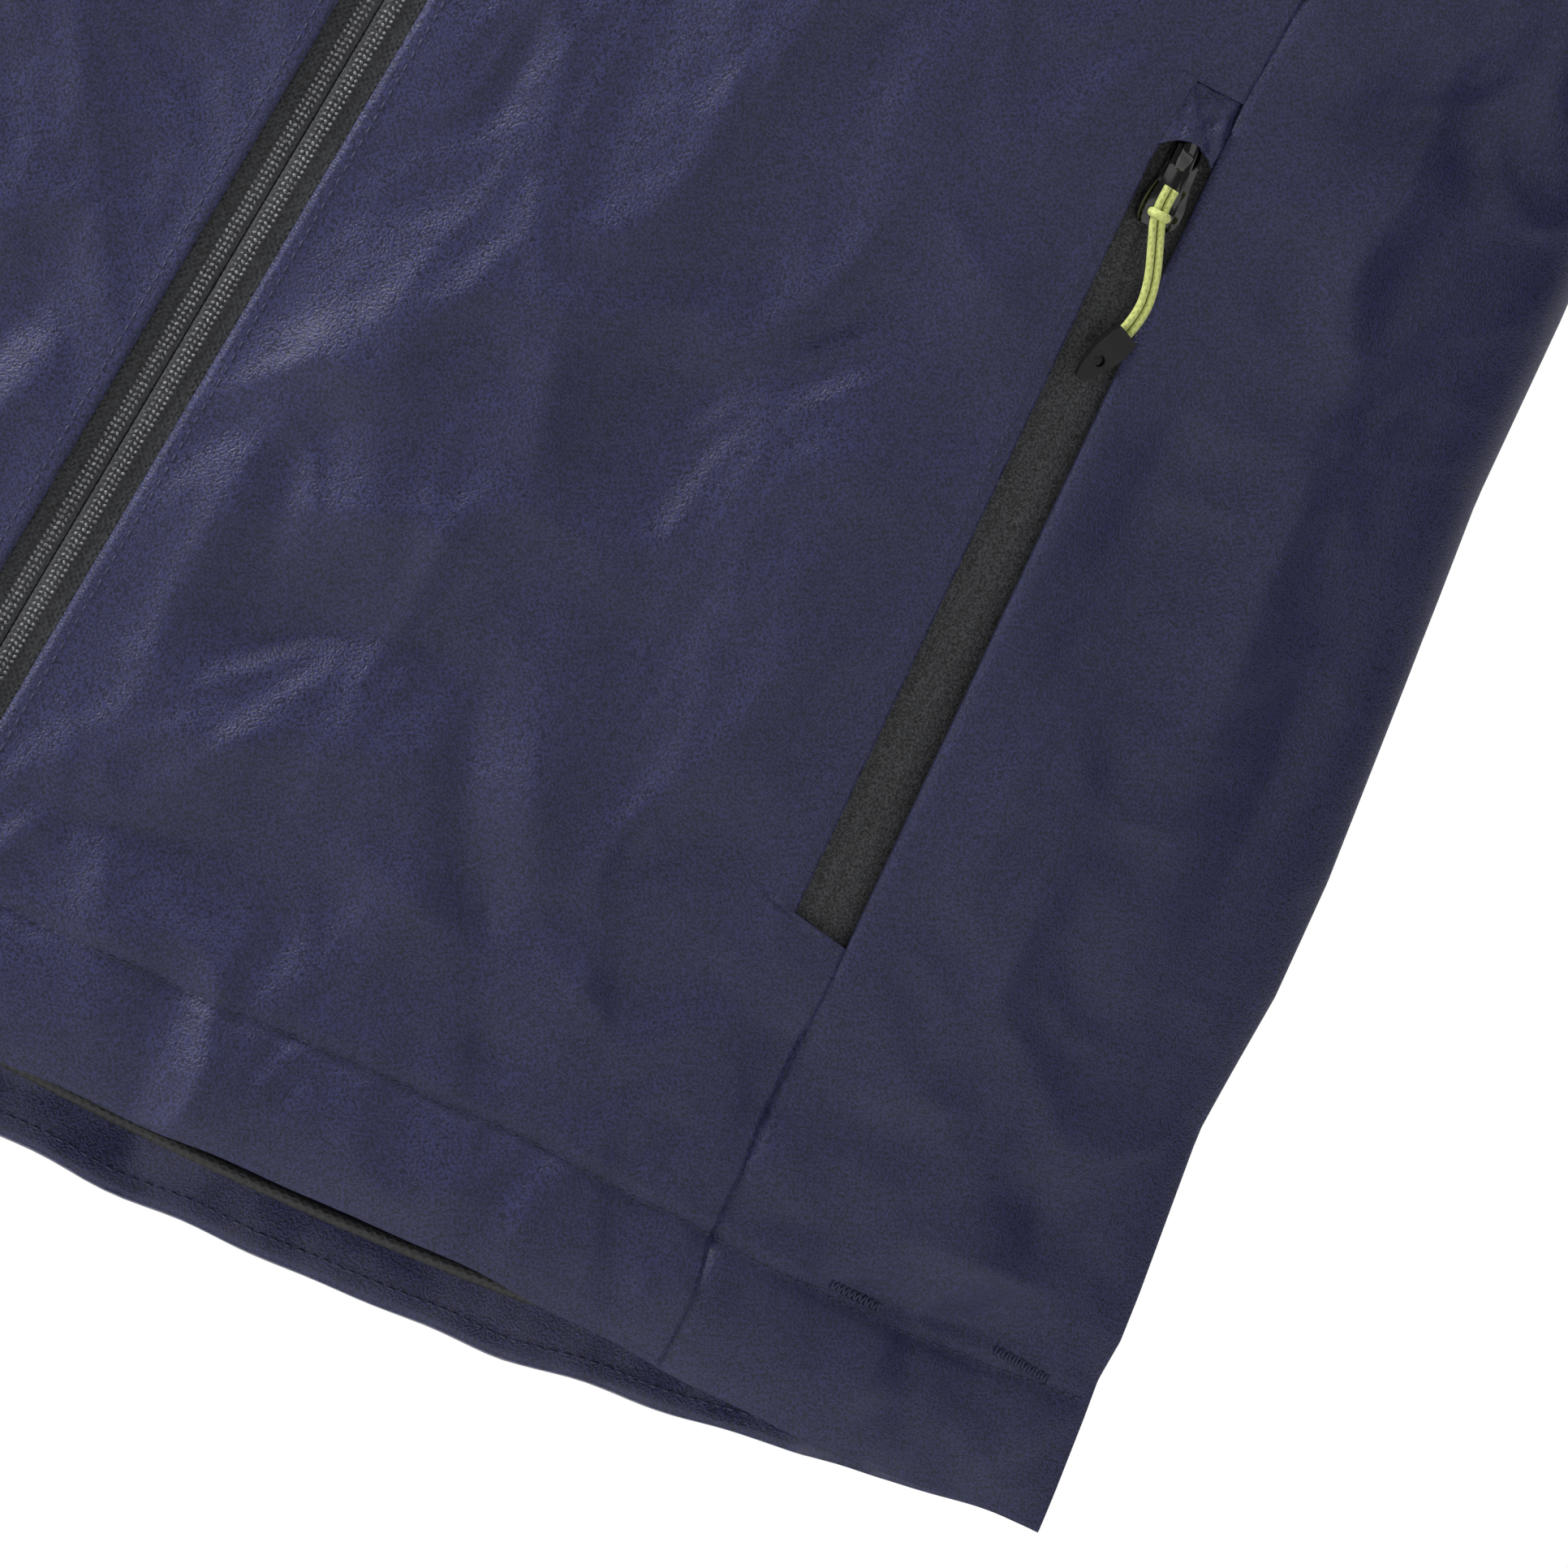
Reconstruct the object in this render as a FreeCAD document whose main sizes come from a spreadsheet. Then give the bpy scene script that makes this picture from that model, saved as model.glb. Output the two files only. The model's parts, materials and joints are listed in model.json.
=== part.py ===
import FreeCAD, Part
import os
from math import asin, atan2, cos, degrees, hypot, pi, radians, sin, tan

Vector = FreeCAD.Vector
Rotation = FreeCAD.Rotation
Placement = FreeCAD.Placement

# Foul weather jacket, upright as it hangs: +Z up, +X the wearer's left, the front faces -Y.
# The origin is the middle of the hanging loop's gap, inside the back of the neck.

os.makedirs("parts", exist_ok=True)
doc = FreeCAD.newDocument("foul_weather_jacket")
sheet = doc.addObject("Spreadsheet::Sheet", "size")
subparts = []
filled_rows = 0


def fill_cells(**values):
    """Write driving dimensions into the sheet, one aliased cell each."""
    global filled_rows
    for alias, value in values.items():
        filled_rows += 1
        sheet.set("A%d" % filled_rows, alias)
        sheet.set("B%d" % filled_rows, str(value))
        sheet.setAlias("B%d" % filled_rows, alias)


def dim(alias):
    """Read one driving dimension back from the sheet."""
    return float(sheet.get(alias))


# ---------------------------------------------------------------- driving dimensions

fill_cells(
    side_seam_y=-70, panel_thickness=2, zip_gap_half=7.5,
    front_hem_z=-720, back_hem_z=-733, side_hem_z=-692, hem_depth=28,
    shoulder_tip_x=205, shoulder_tip_z=-54, underarm_x=238, underarm_z=-306,
    yoke_seam_z=-180, lining_inset=11, lining_thickness=1, lining_hem_lift=30,
    facing_inset=6.2, facing_thickness=1, elastic_inset=4.1, elastic_radius=1.5,
    elastic_turn_in=3.2, elastic_turn_step=4,
    tack_length=10.5, tack_width=2, tack_thickness=0.8, tack_sink=0.1, facing_gap=18, front_lining_gap=32,
)
fill_cells(
    neck_y=-67.5, neck_half_width=82, neck_half_depth=82.5, collar_top_half_width=77,
    collar_top_half_depth=77, collar_top_z=76, collar_foot_z=-90, neckline_front_z=-77,
    neckline_back_z=-4, collar_thickness=2.2, collar_lining_inset=2.6, collar_lining_thickness=3,
    collar_lining_gap_half=17, collar_lining_drop=3, loop_width=60, loop_height=7,
    loop_thickness=1.5, loop_front_y=-8, loop_depth=4.7, loop_end=4,
)
fill_cells(
    tape_room=0.2, zip_tape_inner=0.6, zip_tape_width=14, zip_tape_thickness=0.8, zip_tape_drop=2.8,
    zip_coil_width=2.8, zip_coil_thickness=1.6, main_zip_top_z=69, main_zip_foot_z=-712,
    slider_web=0.5, slider_plate=1.5, slider_plate_drop=0.9, slider_back_drop=5.6,
    slider_bridge_width=3.6, slider_bridge_rise=1.8, slider_bridge_wall=0.9,
    main_slider_width=11, main_slider_length=20, main_bridge_length=11, main_slider_z=56,
    main_tab_width=8, main_tab_length=32, main_tab_thickness=1.8, main_tab_hole=2,
    main_tab_eye_width=4.6, main_tab_eye_length=14, main_tab_lift=0.5,
    flap_half_width=28, flap_drop=8.6, flap_thickness=1.4, flap_below_throat=6,
)
fill_cells(
    stop_width=3, stop_depth=3.4, stop_height=4, stop_proud=0.6, stop_gap=0.2,
    socket_width=6.6, socket_depth=4.2, socket_height=7.4, socket_proud=1, socket_below=7.6,
    pin_width=2.6, pin_depth=3, pin_proud=0.4,
)
fill_cells(
    pocket_top_x=152.9, pocket_top_z=-446, pocket_foot_x=168.7, pocket_foot_z=-611,
    pocket_slot_half=6.2, pocket_slot_above=7, pocket_tape_half=12, pocket_slider_width=9.2,
    pocket_slider_length=18, pocket_slider_above=7, pocket_bridge_length=6,
    pocket_tape_above=15, pocket_tape_below=10, pocket_tape_join=1,
    garage_length=12, garage_thickness=2, garage_lift=0.3, garage_overlap=0.5, garage_gap=0.4,
    pocket_slope_step=8, princess_flare=8, pocket_slot_reach=12,
    pull_cord_radius=0.8, pull_strand_gap=0.9, pull_eye_place=0.55, pull_end_length=13, pull_end_width=6,
    pull_end_thickness=3.6, pull_end_tip_width=3, pull_end_tip_thickness=1.8, pull_end_hole=1.25,
    pull_end_lift=2.3,
    bag_inset=9.5, bag_thickness=1, bag_near_x=92, bag_far_x=208, bag_top_z=-440, bag_foot_z=-652,
)
fill_cells(
    sleeve_thickness=2, sleeve_lean=22, elbow_down=120, wrist_down=300, cuff_down=338,
    cuff_thickness=2.6, seal_inset=4, seal_thickness=1.2, tab_thickness=2, tab_gap=1,
    tab_height=26, tab_reach=46,
)
fill_cells(
    hood_thickness=2.2, hood_seam_half=46, face_low_y=-116, face_low_z=12,
    face_high_y=-166, face_high_z=280, peak_reach=42, peak_thickness=2.4, peak_radius=106,
    peak_half_angle=46, peak_tilt=6, peak_z=266, peak_y=-157, band_lift=1, band_height=9,
    band_clearance=0.3,
)

# Torso sections, from below the hem to the neck: half width, depth before and behind the side
# seams, and how pointed the sides are (1 is a lens, 0.5 an ellipse, less a box).
TORSO = (
    ("below_hem", -745, 271, 80, 80, 0.92),
    ("hem", -692, 267, 80, 80, 0.90),
    ("skirt", -600, 254.5, 80, 80, 0.76),
    ("hip", -500, 243, 80, 82, 0.66),
    ("waist", -420, 231.5, 80, 84, 0.58),
    ("underarm", -306, 238, 80, 90, 0.40),
    ("chest", -180, 240, 80, 92, 0.34),
    ("armhole_top", -90, 236, 80, 90, 0.34),
    ("shoulder_tip", -56, 214, 78, 86, 0.38),
    ("shoulder_middle", -30, 155, 68, 84, 0.45),
    ("neck_side", 0, 84, 52, 80, 0.50),
    ("neck_top", 8, 58, 42, 77, 0.50),
)
TORSO_KEYS = ("level", "half_width", "front", "back", "point")
for name, *values in TORSO:
    fill_cells(**{"%s_%s" % (name, key): value for key, value in zip(TORSO_KEYS, values)})

# Hood rings, from the neck to the crown: height, centre, half width and half depth.
HOOD = (
    ("hood_foot", 12, -66, 98, 97),
    ("hood_nape", 70, -64, 106, 112),
    ("hood_cheek", 140, -62, 116, 130),
    ("hood_temple", 210, -60, 114, 130),
    ("hood_brow", 262, -57, 94, 109),
    ("hood_crown", 296, -53, 58, 68),
    ("hood_top", 310, -50, 16, 18),
)
HOOD_KEYS = ("level", "centre", "half_width", "half_depth")
for name, *values in HOOD:
    fill_cells(**{"%s_%s" % (name, key): value for key, value in zip(HOOD_KEYS, values)})

# Sleeve head rings in the X-Z plane: inner point, outer point and half depth across Y.
SLEEVE_HEAD = (
    ("armhole", 238.5, -306, 205.5, -54, 47),
    ("sleeve_cap", 240.5, -318, 290, -118, 54),
    ("sleeve_turn", 244, -335, 350, -205, 59),
    ("sleeve_bicep", 250, -362, 389, -305.8, 60),
)
SLEEVE_KEYS = ("inner_x", "inner_z", "outer_x", "outer_z", "depth")
for name, *values in SLEEVE_HEAD:
    fill_cells(**{"%s_%s" % (name, key): value for key, value in zip(SLEEVE_KEYS, values)})

# Half width, half depth and forward bend of the sleeve below the bicep.
fill_cells(
    elbow_half_width=69, elbow_half_depth=56, elbow_forward=4,
    wrist_half_width=58, wrist_half_depth=45, wrist_forward=20,
    cuff_half_width=53, cuff_half_depth=39, cuff_forward=24,
)
doc.recompute()

SEAM_Y = dim("side_seam_y")
FRONT_Y = SEAM_Y - dim("hem_front")
FAR = 600


# ---------------------------------------------------------------- shared geometry


def add_feature(label, shape):
    """A soft or free-form piece, made from its finished shape."""
    piece = doc.addObject("Part::Feature", label)
    piece.Label = label
    piece.Shape = shape
    piece.Placement = Placement()
    subparts.append(piece)
    return piece


def add_body(label, placement=Placement()):
    """A PartDesign body for one moulded, cast or cut piece."""
    body = doc.addObject("PartDesign::Body", label)
    body.Label = label
    body.Placement = placement
    subparts.append(body)
    return body


def add_block(body, name, kind, size, low):
    """A box feature: sizes and low corner are expressions on the sheet."""
    block = body.newObject("PartDesign::%sBox" % kind, name)
    for side, expression in zip(("Length", "Width", "Height"), size):
        block.setExpression(side, expression)
    for axis, expression in zip("xyz", low):
        block.setExpression("Placement.Base.%s" % axis, expression)
    return block


def prism(outline, plane, low, high):
    """A straight prism: the outline lies in the XZ or YZ plane."""
    if plane == "XZ":
        points = [Vector(a, low, b) for a, b in outline]
        along = Vector(0, high - low, 0)
    else:
        points = [Vector(low, a, b) for a, b in outline]
        along = Vector(high - low, 0, 0)
    return Part.Face(Part.makePolygon(points + points[:1])).extrude(along)


def mirrored(shape):
    """The same shape for the wearer's other side."""
    return shape.mirror(Vector(0, 0, 0), Vector(1, 0, 0))


def both_sides(name, shape):
    """One soft piece for each side of the jacket."""
    add_feature(name + "_left", shape)
    add_feature(name + "_right", mirrored(shape))


def torso_station(name):
    return [dim("%s_%s" % (name, key)) for key in TORSO_KEYS]


TORSO_STATIONS = [torso_station(row[0]) for row in TORSO]
SECTION_ANGLES = [radians(-90 + 15 * step) for step in range(13)]


def section_edge(station, inset, side):
    """Front (side -1) or back (side 1) of one torso section."""
    level, half_width, front, back, point = station
    depth = (front if side < 0 else back) - inset
    points = []
    for angle in SECTION_ANGLES:
        rise = max(cos(angle), 0) ** (2 * point)
        points.append(Vector((half_width - inset) * sin(angle), SEAM_Y + side * depth * rise, level))
    points[0].y = SEAM_Y
    points[-1].y = SEAM_Y
    curve = Part.BSplineCurve()
    curve.interpolate(Points=points, Parameters=SECTION_ANGLES)
    return curve.toShape()


def torso_solid(inset):
    """Everything inside the torso's surface, moved in by the inset."""
    wires = []
    for station in TORSO_STATIONS:
        wires.append(Part.Wire([section_edge(station, inset, -1), section_edge(station, inset, 1)]))
    return Part.makeLoft(wires, True, True)


def torso_layer(outer_inset, inner_inset):
    return torso_solid(outer_inset).cut(torso_solid(inner_inset))


def front_y(x, z, inset=0):
    """Height of the torso's front over the X-Z plane."""
    for below, above in zip(TORSO_STATIONS, TORSO_STATIONS[1:]):
        if below[0] <= z <= above[0]:
            share = (z - below[0]) / (above[0] - below[0])
            half_width = below[1] + share * (above[1] - below[1]) - inset
            rise = cos(asin(min(abs(x) / half_width, 1)))
            low = (below[2] - inset) * rise ** (2 * below[4])
            high = (above[2] - inset) * rise ** (2 * above[4])
            return SEAM_Y - low - share * (high - low)
    raise ValueError("level outside the torso")


def oval_solid(rings, inset):
    """Loft through level ovals, each drawn as a closed curve that starts at the back."""
    wires = []
    for level, centre, half_width, half_depth in rings:
        points = []
        for step in range(24):
            angle = 2 * pi * step / 24
            points.append(Vector((half_width - inset) * sin(angle),
                                 centre + (half_depth - inset) * cos(angle), level))
        curve = Part.BSplineCurve()
        curve.interpolate(Points=points, PeriodicFlag=True)
        wires.append(Part.Wire([curve.toShape()]))
    return Part.makeLoft(wires, True, False)


def tube(points, radius, label):
    """A cord's tube: straight runs joined by the largest tangent arcs that they allow."""
    edges = []
    start = points[0]
    length = 0
    radii = []
    for before, corner, after in zip(points, points[1:], points[2:]):
        first = (corner - before).normalize()
        second = (after - corner).normalize()
        turn = first.getAngle(second)
        reach = 0.45 * min((corner - before).Length, (after - corner).Length)
        arc_radius = reach / tan(turn / 2)
        radii.append(round(arc_radius, 1))
        arc_start = corner - first * reach
        arc_end = corner + second * reach
        inward = (second - first).normalize()
        middle = corner + inward * (arc_radius * (1 / cos(turn / 2) - 1))
        edges.append(Part.LineSegment(start, arc_start).toShape())
        edges.append(Part.Arc(arc_start, middle, arc_end).toShape())
        length += (arc_start - start).Length + arc_radius * turn
        start = arc_end
    edges.append(Part.LineSegment(start, points[-1]).toShape())
    length += (points[-1] - start).Length
    path = Part.Wire(edges)
    circle = Part.Circle(points[0], points[1] - points[0], radius).toShape()
    solid = path.makePipeShell([Part.Wire([circle])], True, False)
    expected = pi * radius ** 2 * length
    print(label, "length", round(length, 1), "radii", radii,
          "volume ratio", round(solid.Volume / expected, 3))
    return solid


# ---------------------------------------------------------------- cutting tools

# Below the front hem, straight from the zip up to each side, and below the curved back hem.
side_z = dim("side_hem_z")
side_x = dim("hem_half_width")
front_slope = (side_z - dim("front_hem_z")) / side_x


def below_front_hem(lift):
    low = dim("front_hem_z") + lift
    edge = low + front_slope * FAR
    outline = [(-FAR, -FAR * 2), (FAR, -FAR * 2), (FAR, edge), (0, low), (-FAR, edge)]
    return prism(outline, "XZ", -FAR, SEAM_Y)


def below_back_hem(lift):
    sag = side_z - dim("back_hem_z")
    radius = (side_x ** 2 + sag ** 2) / (2 * sag)
    centre = Vector(0, SEAM_Y, dim("back_hem_z") + lift + radius)
    inside = Part.makeCylinder(radius, FAR, centre, Vector(0, 1, 0))
    box = Part.makeBox(2 * FAR, FAR, FAR * 2 + side_z + lift, Vector(-FAR, SEAM_Y, -FAR * 2))
    return box.cut(inside)


def below_hem(lift):
    return below_front_hem(lift).fuse(below_back_hem(lift))


tip = (dim("shoulder_tip_x"), dim("shoulder_tip_z"))
pit = (dim("underarm_x"), dim("underarm_z"))
arm_outline = [(tip[0], FAR), tip, pit, (FAR, pit[1]), (FAR, FAR)]
arm_left = prism(arm_outline, "XZ", -FAR, FAR)
arms = arm_left.fuse(mirrored(arm_left))

# The neckline is a plane that drops from the nape to the throat.
nape = (dim("neck_y") + dim("neck_half_depth"), dim("neckline_back_z"))
throat = (dim("neck_y") - dim("neck_half_depth"), dim("neckline_front_z"))
line_slope = (nape[1] - throat[1]) / (nape[0] - throat[0])
neck_outline = [
    (throat[0] - 100, throat[1] - 100 * line_slope), (nape[0] + 100, nape[1] + 100 * line_slope),
    (nape[0] + 100, FAR), (throat[0] - 100, FAR),
]
above_neckline = prism(neck_outline, "YZ", -FAR, FAR)
collar_rings = (
    (dim("collar_foot_z"), dim("neck_y"), dim("neck_half_width"), dim("neck_half_depth")),
    (dim("collar_top_z"), dim("neck_y") - dim("neck_half_depth") + dim("collar_top_half_depth"),
     dim("collar_top_half_width"), dim("collar_top_half_depth")),
)
neck_hole = oval_solid(collar_rings, 0).common(above_neckline)



def front_opening(half_width):
    """A band along the front, to leave room for the zip."""
    return Part.makeBox(2 * half_width, FAR, 4 * FAR, Vector(-half_width, -FAR + SEAM_Y, -2 * FAR))


# The fabric's edges are thinner where the zip's tape is sewn behind them.
tape_edge = dim("zip_tape_inner") + dim("zip_tape_width") + dim("zip_tape_inner")
tape_face = FRONT_Y + dim("zip_tape_drop") - dim("tape_room")
tape_room = Part.makeBox(2 * tape_edge, SEAM_Y - tape_face, 4 * FAR,
                         Vector(-tape_edge, tape_face, -2 * FAR))

# ---------------------------------------------------------------- pocket line

# The pocket's zip is straight; its frame has X across, Y into the jacket and Z up the zip.
pocket_top = Vector(dim("pocket_top_x"), 0, dim("pocket_top_z"))
pocket_foot = Vector(dim("pocket_foot_x"), 0, dim("pocket_foot_z"))
pocket_top.y = front_y(pocket_top.x, pocket_top.z)
pocket_foot.y = front_y(pocket_foot.x, pocket_foot.z)
pocket_length = (pocket_foot - pocket_top).Length
pocket_up = (pocket_top - pocket_foot).normalize()
slope_step = dim("pocket_slope_step")
pocket_middle = (pocket_top + pocket_foot) * 0.5
slope_y = (front_y(pocket_middle.x + slope_step, pocket_middle.z)
           - front_y(pocket_middle.x - slope_step, pocket_middle.z))
pocket_across = Vector(2 * slope_step, slope_y, 0)
pocket_across = (pocket_across - pocket_up * pocket_across.dot(pocket_up)).normalize()
pocket_in = pocket_up.cross(pocket_across)
left_pocket = Placement(pocket_top, Rotation(pocket_across, pocket_in, pocket_up, "ZXY"))


def other_side(vector):
    return Vector(-vector.x, vector.y, vector.z)


right_pocket = Placement(
    other_side(pocket_top),
    Rotation(-other_side(pocket_across), other_side(pocket_in), other_side(pocket_up), "ZXY"))


def pocket_point(across, out, down):
    """A place by the left pocket's zip: across it, out of the fabric and down from its top."""
    return left_pocket.multVec(Vector(across, -out, -down))


def pocket_box(across_low, across_high, out_low, out_high, down_low, down_high):
    box = Part.makeBox(across_high - across_low, out_high - out_low, down_high - down_low,
                       Vector(across_low, -out_high, -down_high))
    box.Placement = left_pocket
    return box


slot_half = dim("pocket_slot_half")
slot_reach = dim("pocket_slot_reach")
slot = pocket_box(-slot_half, slot_half, -slot_reach, slot_reach,
                  -dim("pocket_slot_above"), pocket_length)

# ---------------------------------------------------------------- shell panels

# The shell is one laminate surface, cut to panels that meet seam to seam.
shell = torso_layer(0, dim("panel_thickness")).cut(below_hem(0)).cut(arms).cut(neck_hole)
princess = (
    (185.9, -702.6), (181.3, -673.5), (175.1, -611), (157.3, -426), (156.8, -405),
    (160, -310), (176, -215), (216, -140),
)
princess_foot = (princess[0][0] + dim("princess_flare"), -FAR * 2)
princess_end = (FAR, princess[-1][1])
gap = dim("zip_gap_half")
front_outline = [(gap, -FAR * 2), princess_foot, *princess, princess_end, (FAR, FAR), (gap, FAR)]
side_outline = [princess_foot, (FAR, -FAR * 2), princess_end, *reversed(princess)]
front_left = shell.common(prism(front_outline, "XZ", -FAR, SEAM_Y)).cut(slot).cut(tape_room)
side_left = shell.common(prism(side_outline, "XZ", -FAR, SEAM_Y)).cut(slot)
both_sides("front_panel", front_left)
both_sides("side_panel", side_left)

yoke_z = dim("yoke_seam_z")
lower_back = Part.makeBox(2 * FAR, FAR, 2 * FAR + yoke_z, Vector(-FAR, SEAM_Y, -2 * FAR))
upper_back = Part.makeBox(2 * FAR, FAR, FAR, Vector(-FAR, SEAM_Y, yoke_z))
add_feature("back_panel", shell.common(lower_back))
add_feature("back_yoke", shell.common(upper_back))

# The hem facing closes the drawcord channel on the inside; it stops short of the zip.
facing = torso_layer(dim("facing_inset"), dim("facing_inset") + dim("facing_thickness"))
facing = facing.cut(below_hem(0)).common(below_hem(dim("hem_depth")))
add_feature("hem_facing", facing.cut(front_opening(dim("facing_gap"))))

# The mesh lining hangs clear of the pocket bags.
lining_in = dim("lining_inset")
lining = torso_layer(lining_in, lining_in + dim("lining_thickness"))
lining = lining.cut(below_hem(dim("lining_hem_lift"))).cut(arms).cut(neck_hole)
add_feature("lining", lining.cut(front_opening(dim("front_lining_gap"))))

# The hem's elastic cord runs from one front tack round the back to the other.
elastic_in = dim("elastic_inset")
channel_rise = dim("hem_depth") / 2


def front_channel(x):
    z = dim("front_hem_z") + front_slope * abs(x) + channel_rise
    return Vector(x, front_y(x, z, elastic_in), z)


def back_channel(x):
    sag = side_z - dim("back_hem_z")
    z = dim("back_hem_z") + sag * (x / side_x) ** 2 + channel_rise
    front = front_y(x, z, elastic_in)
    return Vector(x, SEAM_Y + (SEAM_Y - front), z)


# The cord turns round the side seam in two steps.
turn_in = dim("elastic_turn_in")
turn_step = dim("elastic_turn_step")
elastic_turn = Vector(side_x - elastic_in - turn_in, SEAM_Y - turn_step, side_z + channel_rise)
elastic_back = Vector(elastic_turn.x, SEAM_Y + turn_step, elastic_turn.z)
right_half = [front_channel(205), front_channel(224), front_channel(242), front_channel(256)]
right_half += [elastic_turn, elastic_back, back_channel(255), back_channel(238)]
right_half += [back_channel(x) for x in (208, 165, 112, 56)]
elastic_route = right_half + [back_channel(4)] + [other_side(point) for point in reversed(right_half)]
add_feature("hem_elastic", tube(elastic_route, dim("elastic_radius"), "hem_elastic"))


def bar_tack(x, z, slope):
    """A bar tack lying on the front panel, along the hem's seam."""
    tack = Part.makeBox(dim("tack_length"), dim("tack_thickness"), dim("tack_width"),
                        Vector(-dim("tack_length") / 2, -dim("tack_thickness"), 0))
    reach = dim("tack_length") / 2
    turn_z = degrees(atan2(front_y(x + reach, z) - front_y(x - reach, z), 2 * reach))
    tack.Placement = Placement(Vector(x, front_y(x, z) - dim("tack_sink"), z),
                               Rotation(turn_z, -slope, 0))
    return tack


# Each tack's place across and up the jacket, and its slope in degrees.
TACKS = ((213, -670, 6), (246, -665, 8))
tacks = [bar_tack(*tack) for tack in TACKS]
tacks += [mirrored(tack) for tack in tacks]
add_feature("hem_bar_tacks", Part.makeCompound(tacks))

# ---------------------------------------------------------------- collar and hanging loop

inside_torso = torso_solid(dim("panel_thickness"))
collar = oval_solid(collar_rings, 0).cut(oval_solid(collar_rings, dim("collar_thickness")))
collar = collar.common(above_neckline).cut(inside_torso)
add_feature("collar", collar.cut(front_opening(gap)).cut(tape_room))

lining_from = dim("collar_lining_inset")
fleece = oval_solid(collar_rings, lining_from)
fleece = fleece.cut(oval_solid(collar_rings, lining_from + dim("collar_lining_thickness")))
collar_top = Part.makeBox(FAR, FAR, FAR, Vector(-FAR / 2, -FAR / 2,
                                                dim("collar_top_z") - dim("collar_lining_drop")))
fleece = fleece.common(above_neckline).cut(torso_solid(lining_in + dim("lining_thickness")))
fleece = fleece.cut(front_opening(dim("collar_lining_gap_half"))).cut(collar_top)
add_feature("collar_lining", fleece)

loop = add_body("hanging_loop")
add_block(loop, "strap", "Additive",
          ("size.loop_width", "size.loop_thickness", "size.loop_height"),
          ("-size.loop_width / 2", "size.loop_front_y", "0"))
for name, place in (("left_end", "size.loop_width / 2 - size.loop_end"),
                    ("right_end", "-size.loop_width / 2")):
    add_block(loop, name, "Additive", ("size.loop_end", "size.loop_depth", "size.loop_height"),
              (place, "size.loop_front_y", "0"))

# ---------------------------------------------------------------- zips


def zip_half(label, side, place, low, high, prefix):
    """One side's tape and coil, behind the edge of the fabric."""
    across = "size.zip_tape_inner" if side > 0 else "-size.zip_tape_inner - size.%s" % prefix
    tape = add_body("%s_tape_%s" % (label, "left" if side > 0 else "right"), place)
    add_block(tape, "tape", "Additive",
              ("size.%s" % prefix, "size.zip_tape_thickness", "%s - %s" % (high, low)),
              (across, "size.zip_tape_drop", low))
    coil_at = "size.zip_tape_inner" if side > 0 else "-size.zip_tape_inner - size.zip_coil_width"
    coil = add_body("%s_coil_%s" % (label, "left" if side > 0 else "right"), place)
    add_block(coil, "coil", "Additive",
              ("size.zip_coil_width", "size.zip_coil_thickness", "%s - %s" % (high, low)),
              (coil_at, "size.zip_tape_drop + size.zip_tape_thickness", low))


centre_front = Placement(Vector(0, FRONT_Y, 0), Rotation())
for side in (1, -1):
    zip_half("main_zip", side, centre_front, "size.main_zip_foot_z", "size.main_zip_top_z",
             "zip_tape_width")

stops = add_body("main_zip_top_stops", centre_front)
for name, place in (("left_stop", "size.zip_tape_inner"),
                    ("right_stop", "-size.zip_tape_inner - size.stop_width")):
    add_block(stops, name, "Additive", ("size.stop_width", "size.stop_depth", "size.stop_height"),
              (place, "size.zip_tape_drop - size.stop_proud", "size.main_zip_top_z + size.stop_gap"))
socket = add_body("main_zip_box", centre_front)
add_block(socket, "box", "Additive",
          ("size.socket_width", "size.socket_depth", "size.socket_height"),
          ("size.zip_tape_inner", "size.zip_tape_drop - size.socket_proud",
           "size.main_zip_foot_z - size.socket_below"))
pin = add_body("main_zip_pin", centre_front)
add_block(pin, "pin", "Additive", ("size.pin_width", "size.pin_depth", "size.socket_height"),
          ("-size.zip_tape_inner - size.pin_width", "size.zip_tape_drop - size.pin_proud",
           "size.main_zip_foot_z - size.socket_below"))


def slider(label, place, width, length, bridge, above):
    """Front and back plates round the tapes, a thin web between them and the pull's bridge."""
    body = add_body(label, place)
    top = "%s" % above
    add_block(body, "front_plate", "Additive", (width, "size.slider_plate", length),
              ("-%s / 2" % width, "size.slider_plate_drop", "%s - %s" % (top, length)))
    add_block(body, "web", "Additive",
              ("size.slider_web", "size.slider_back_drop + size.slider_plate - size.slider_plate_drop",
               "%s / 2" % length),
              ("-size.slider_web / 2", "size.slider_plate_drop", "%s - %s / 2" % (top, length)))
    add_block(body, "back_plate", "Additive", (width, "size.slider_plate", length),
              ("-%s / 2" % width, "size.slider_back_drop", "%s - %s" % (top, length)))
    add_block(body, "bridge", "Additive",
              ("size.slider_bridge_width", "size.slider_bridge_rise + size.slider_plate_drop", bridge),
              ("-size.slider_bridge_width / 2", "-size.slider_bridge_rise", "%s - %s" % (top, bridge)))
    add_block(body, "bridge_eye", "Subtractive",
              ("size.slider_bridge_width",
               "size.slider_bridge_rise + size.slider_plate_drop - size.slider_bridge_wall",
               "%s - 2 * size.slider_bridge_wall" % bridge),
              ("-size.slider_bridge_width / 2", "-size.slider_bridge_rise + size.slider_bridge_wall",
               "%s - %s + size.slider_bridge_wall" % (top, bridge)))
    return body


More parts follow.
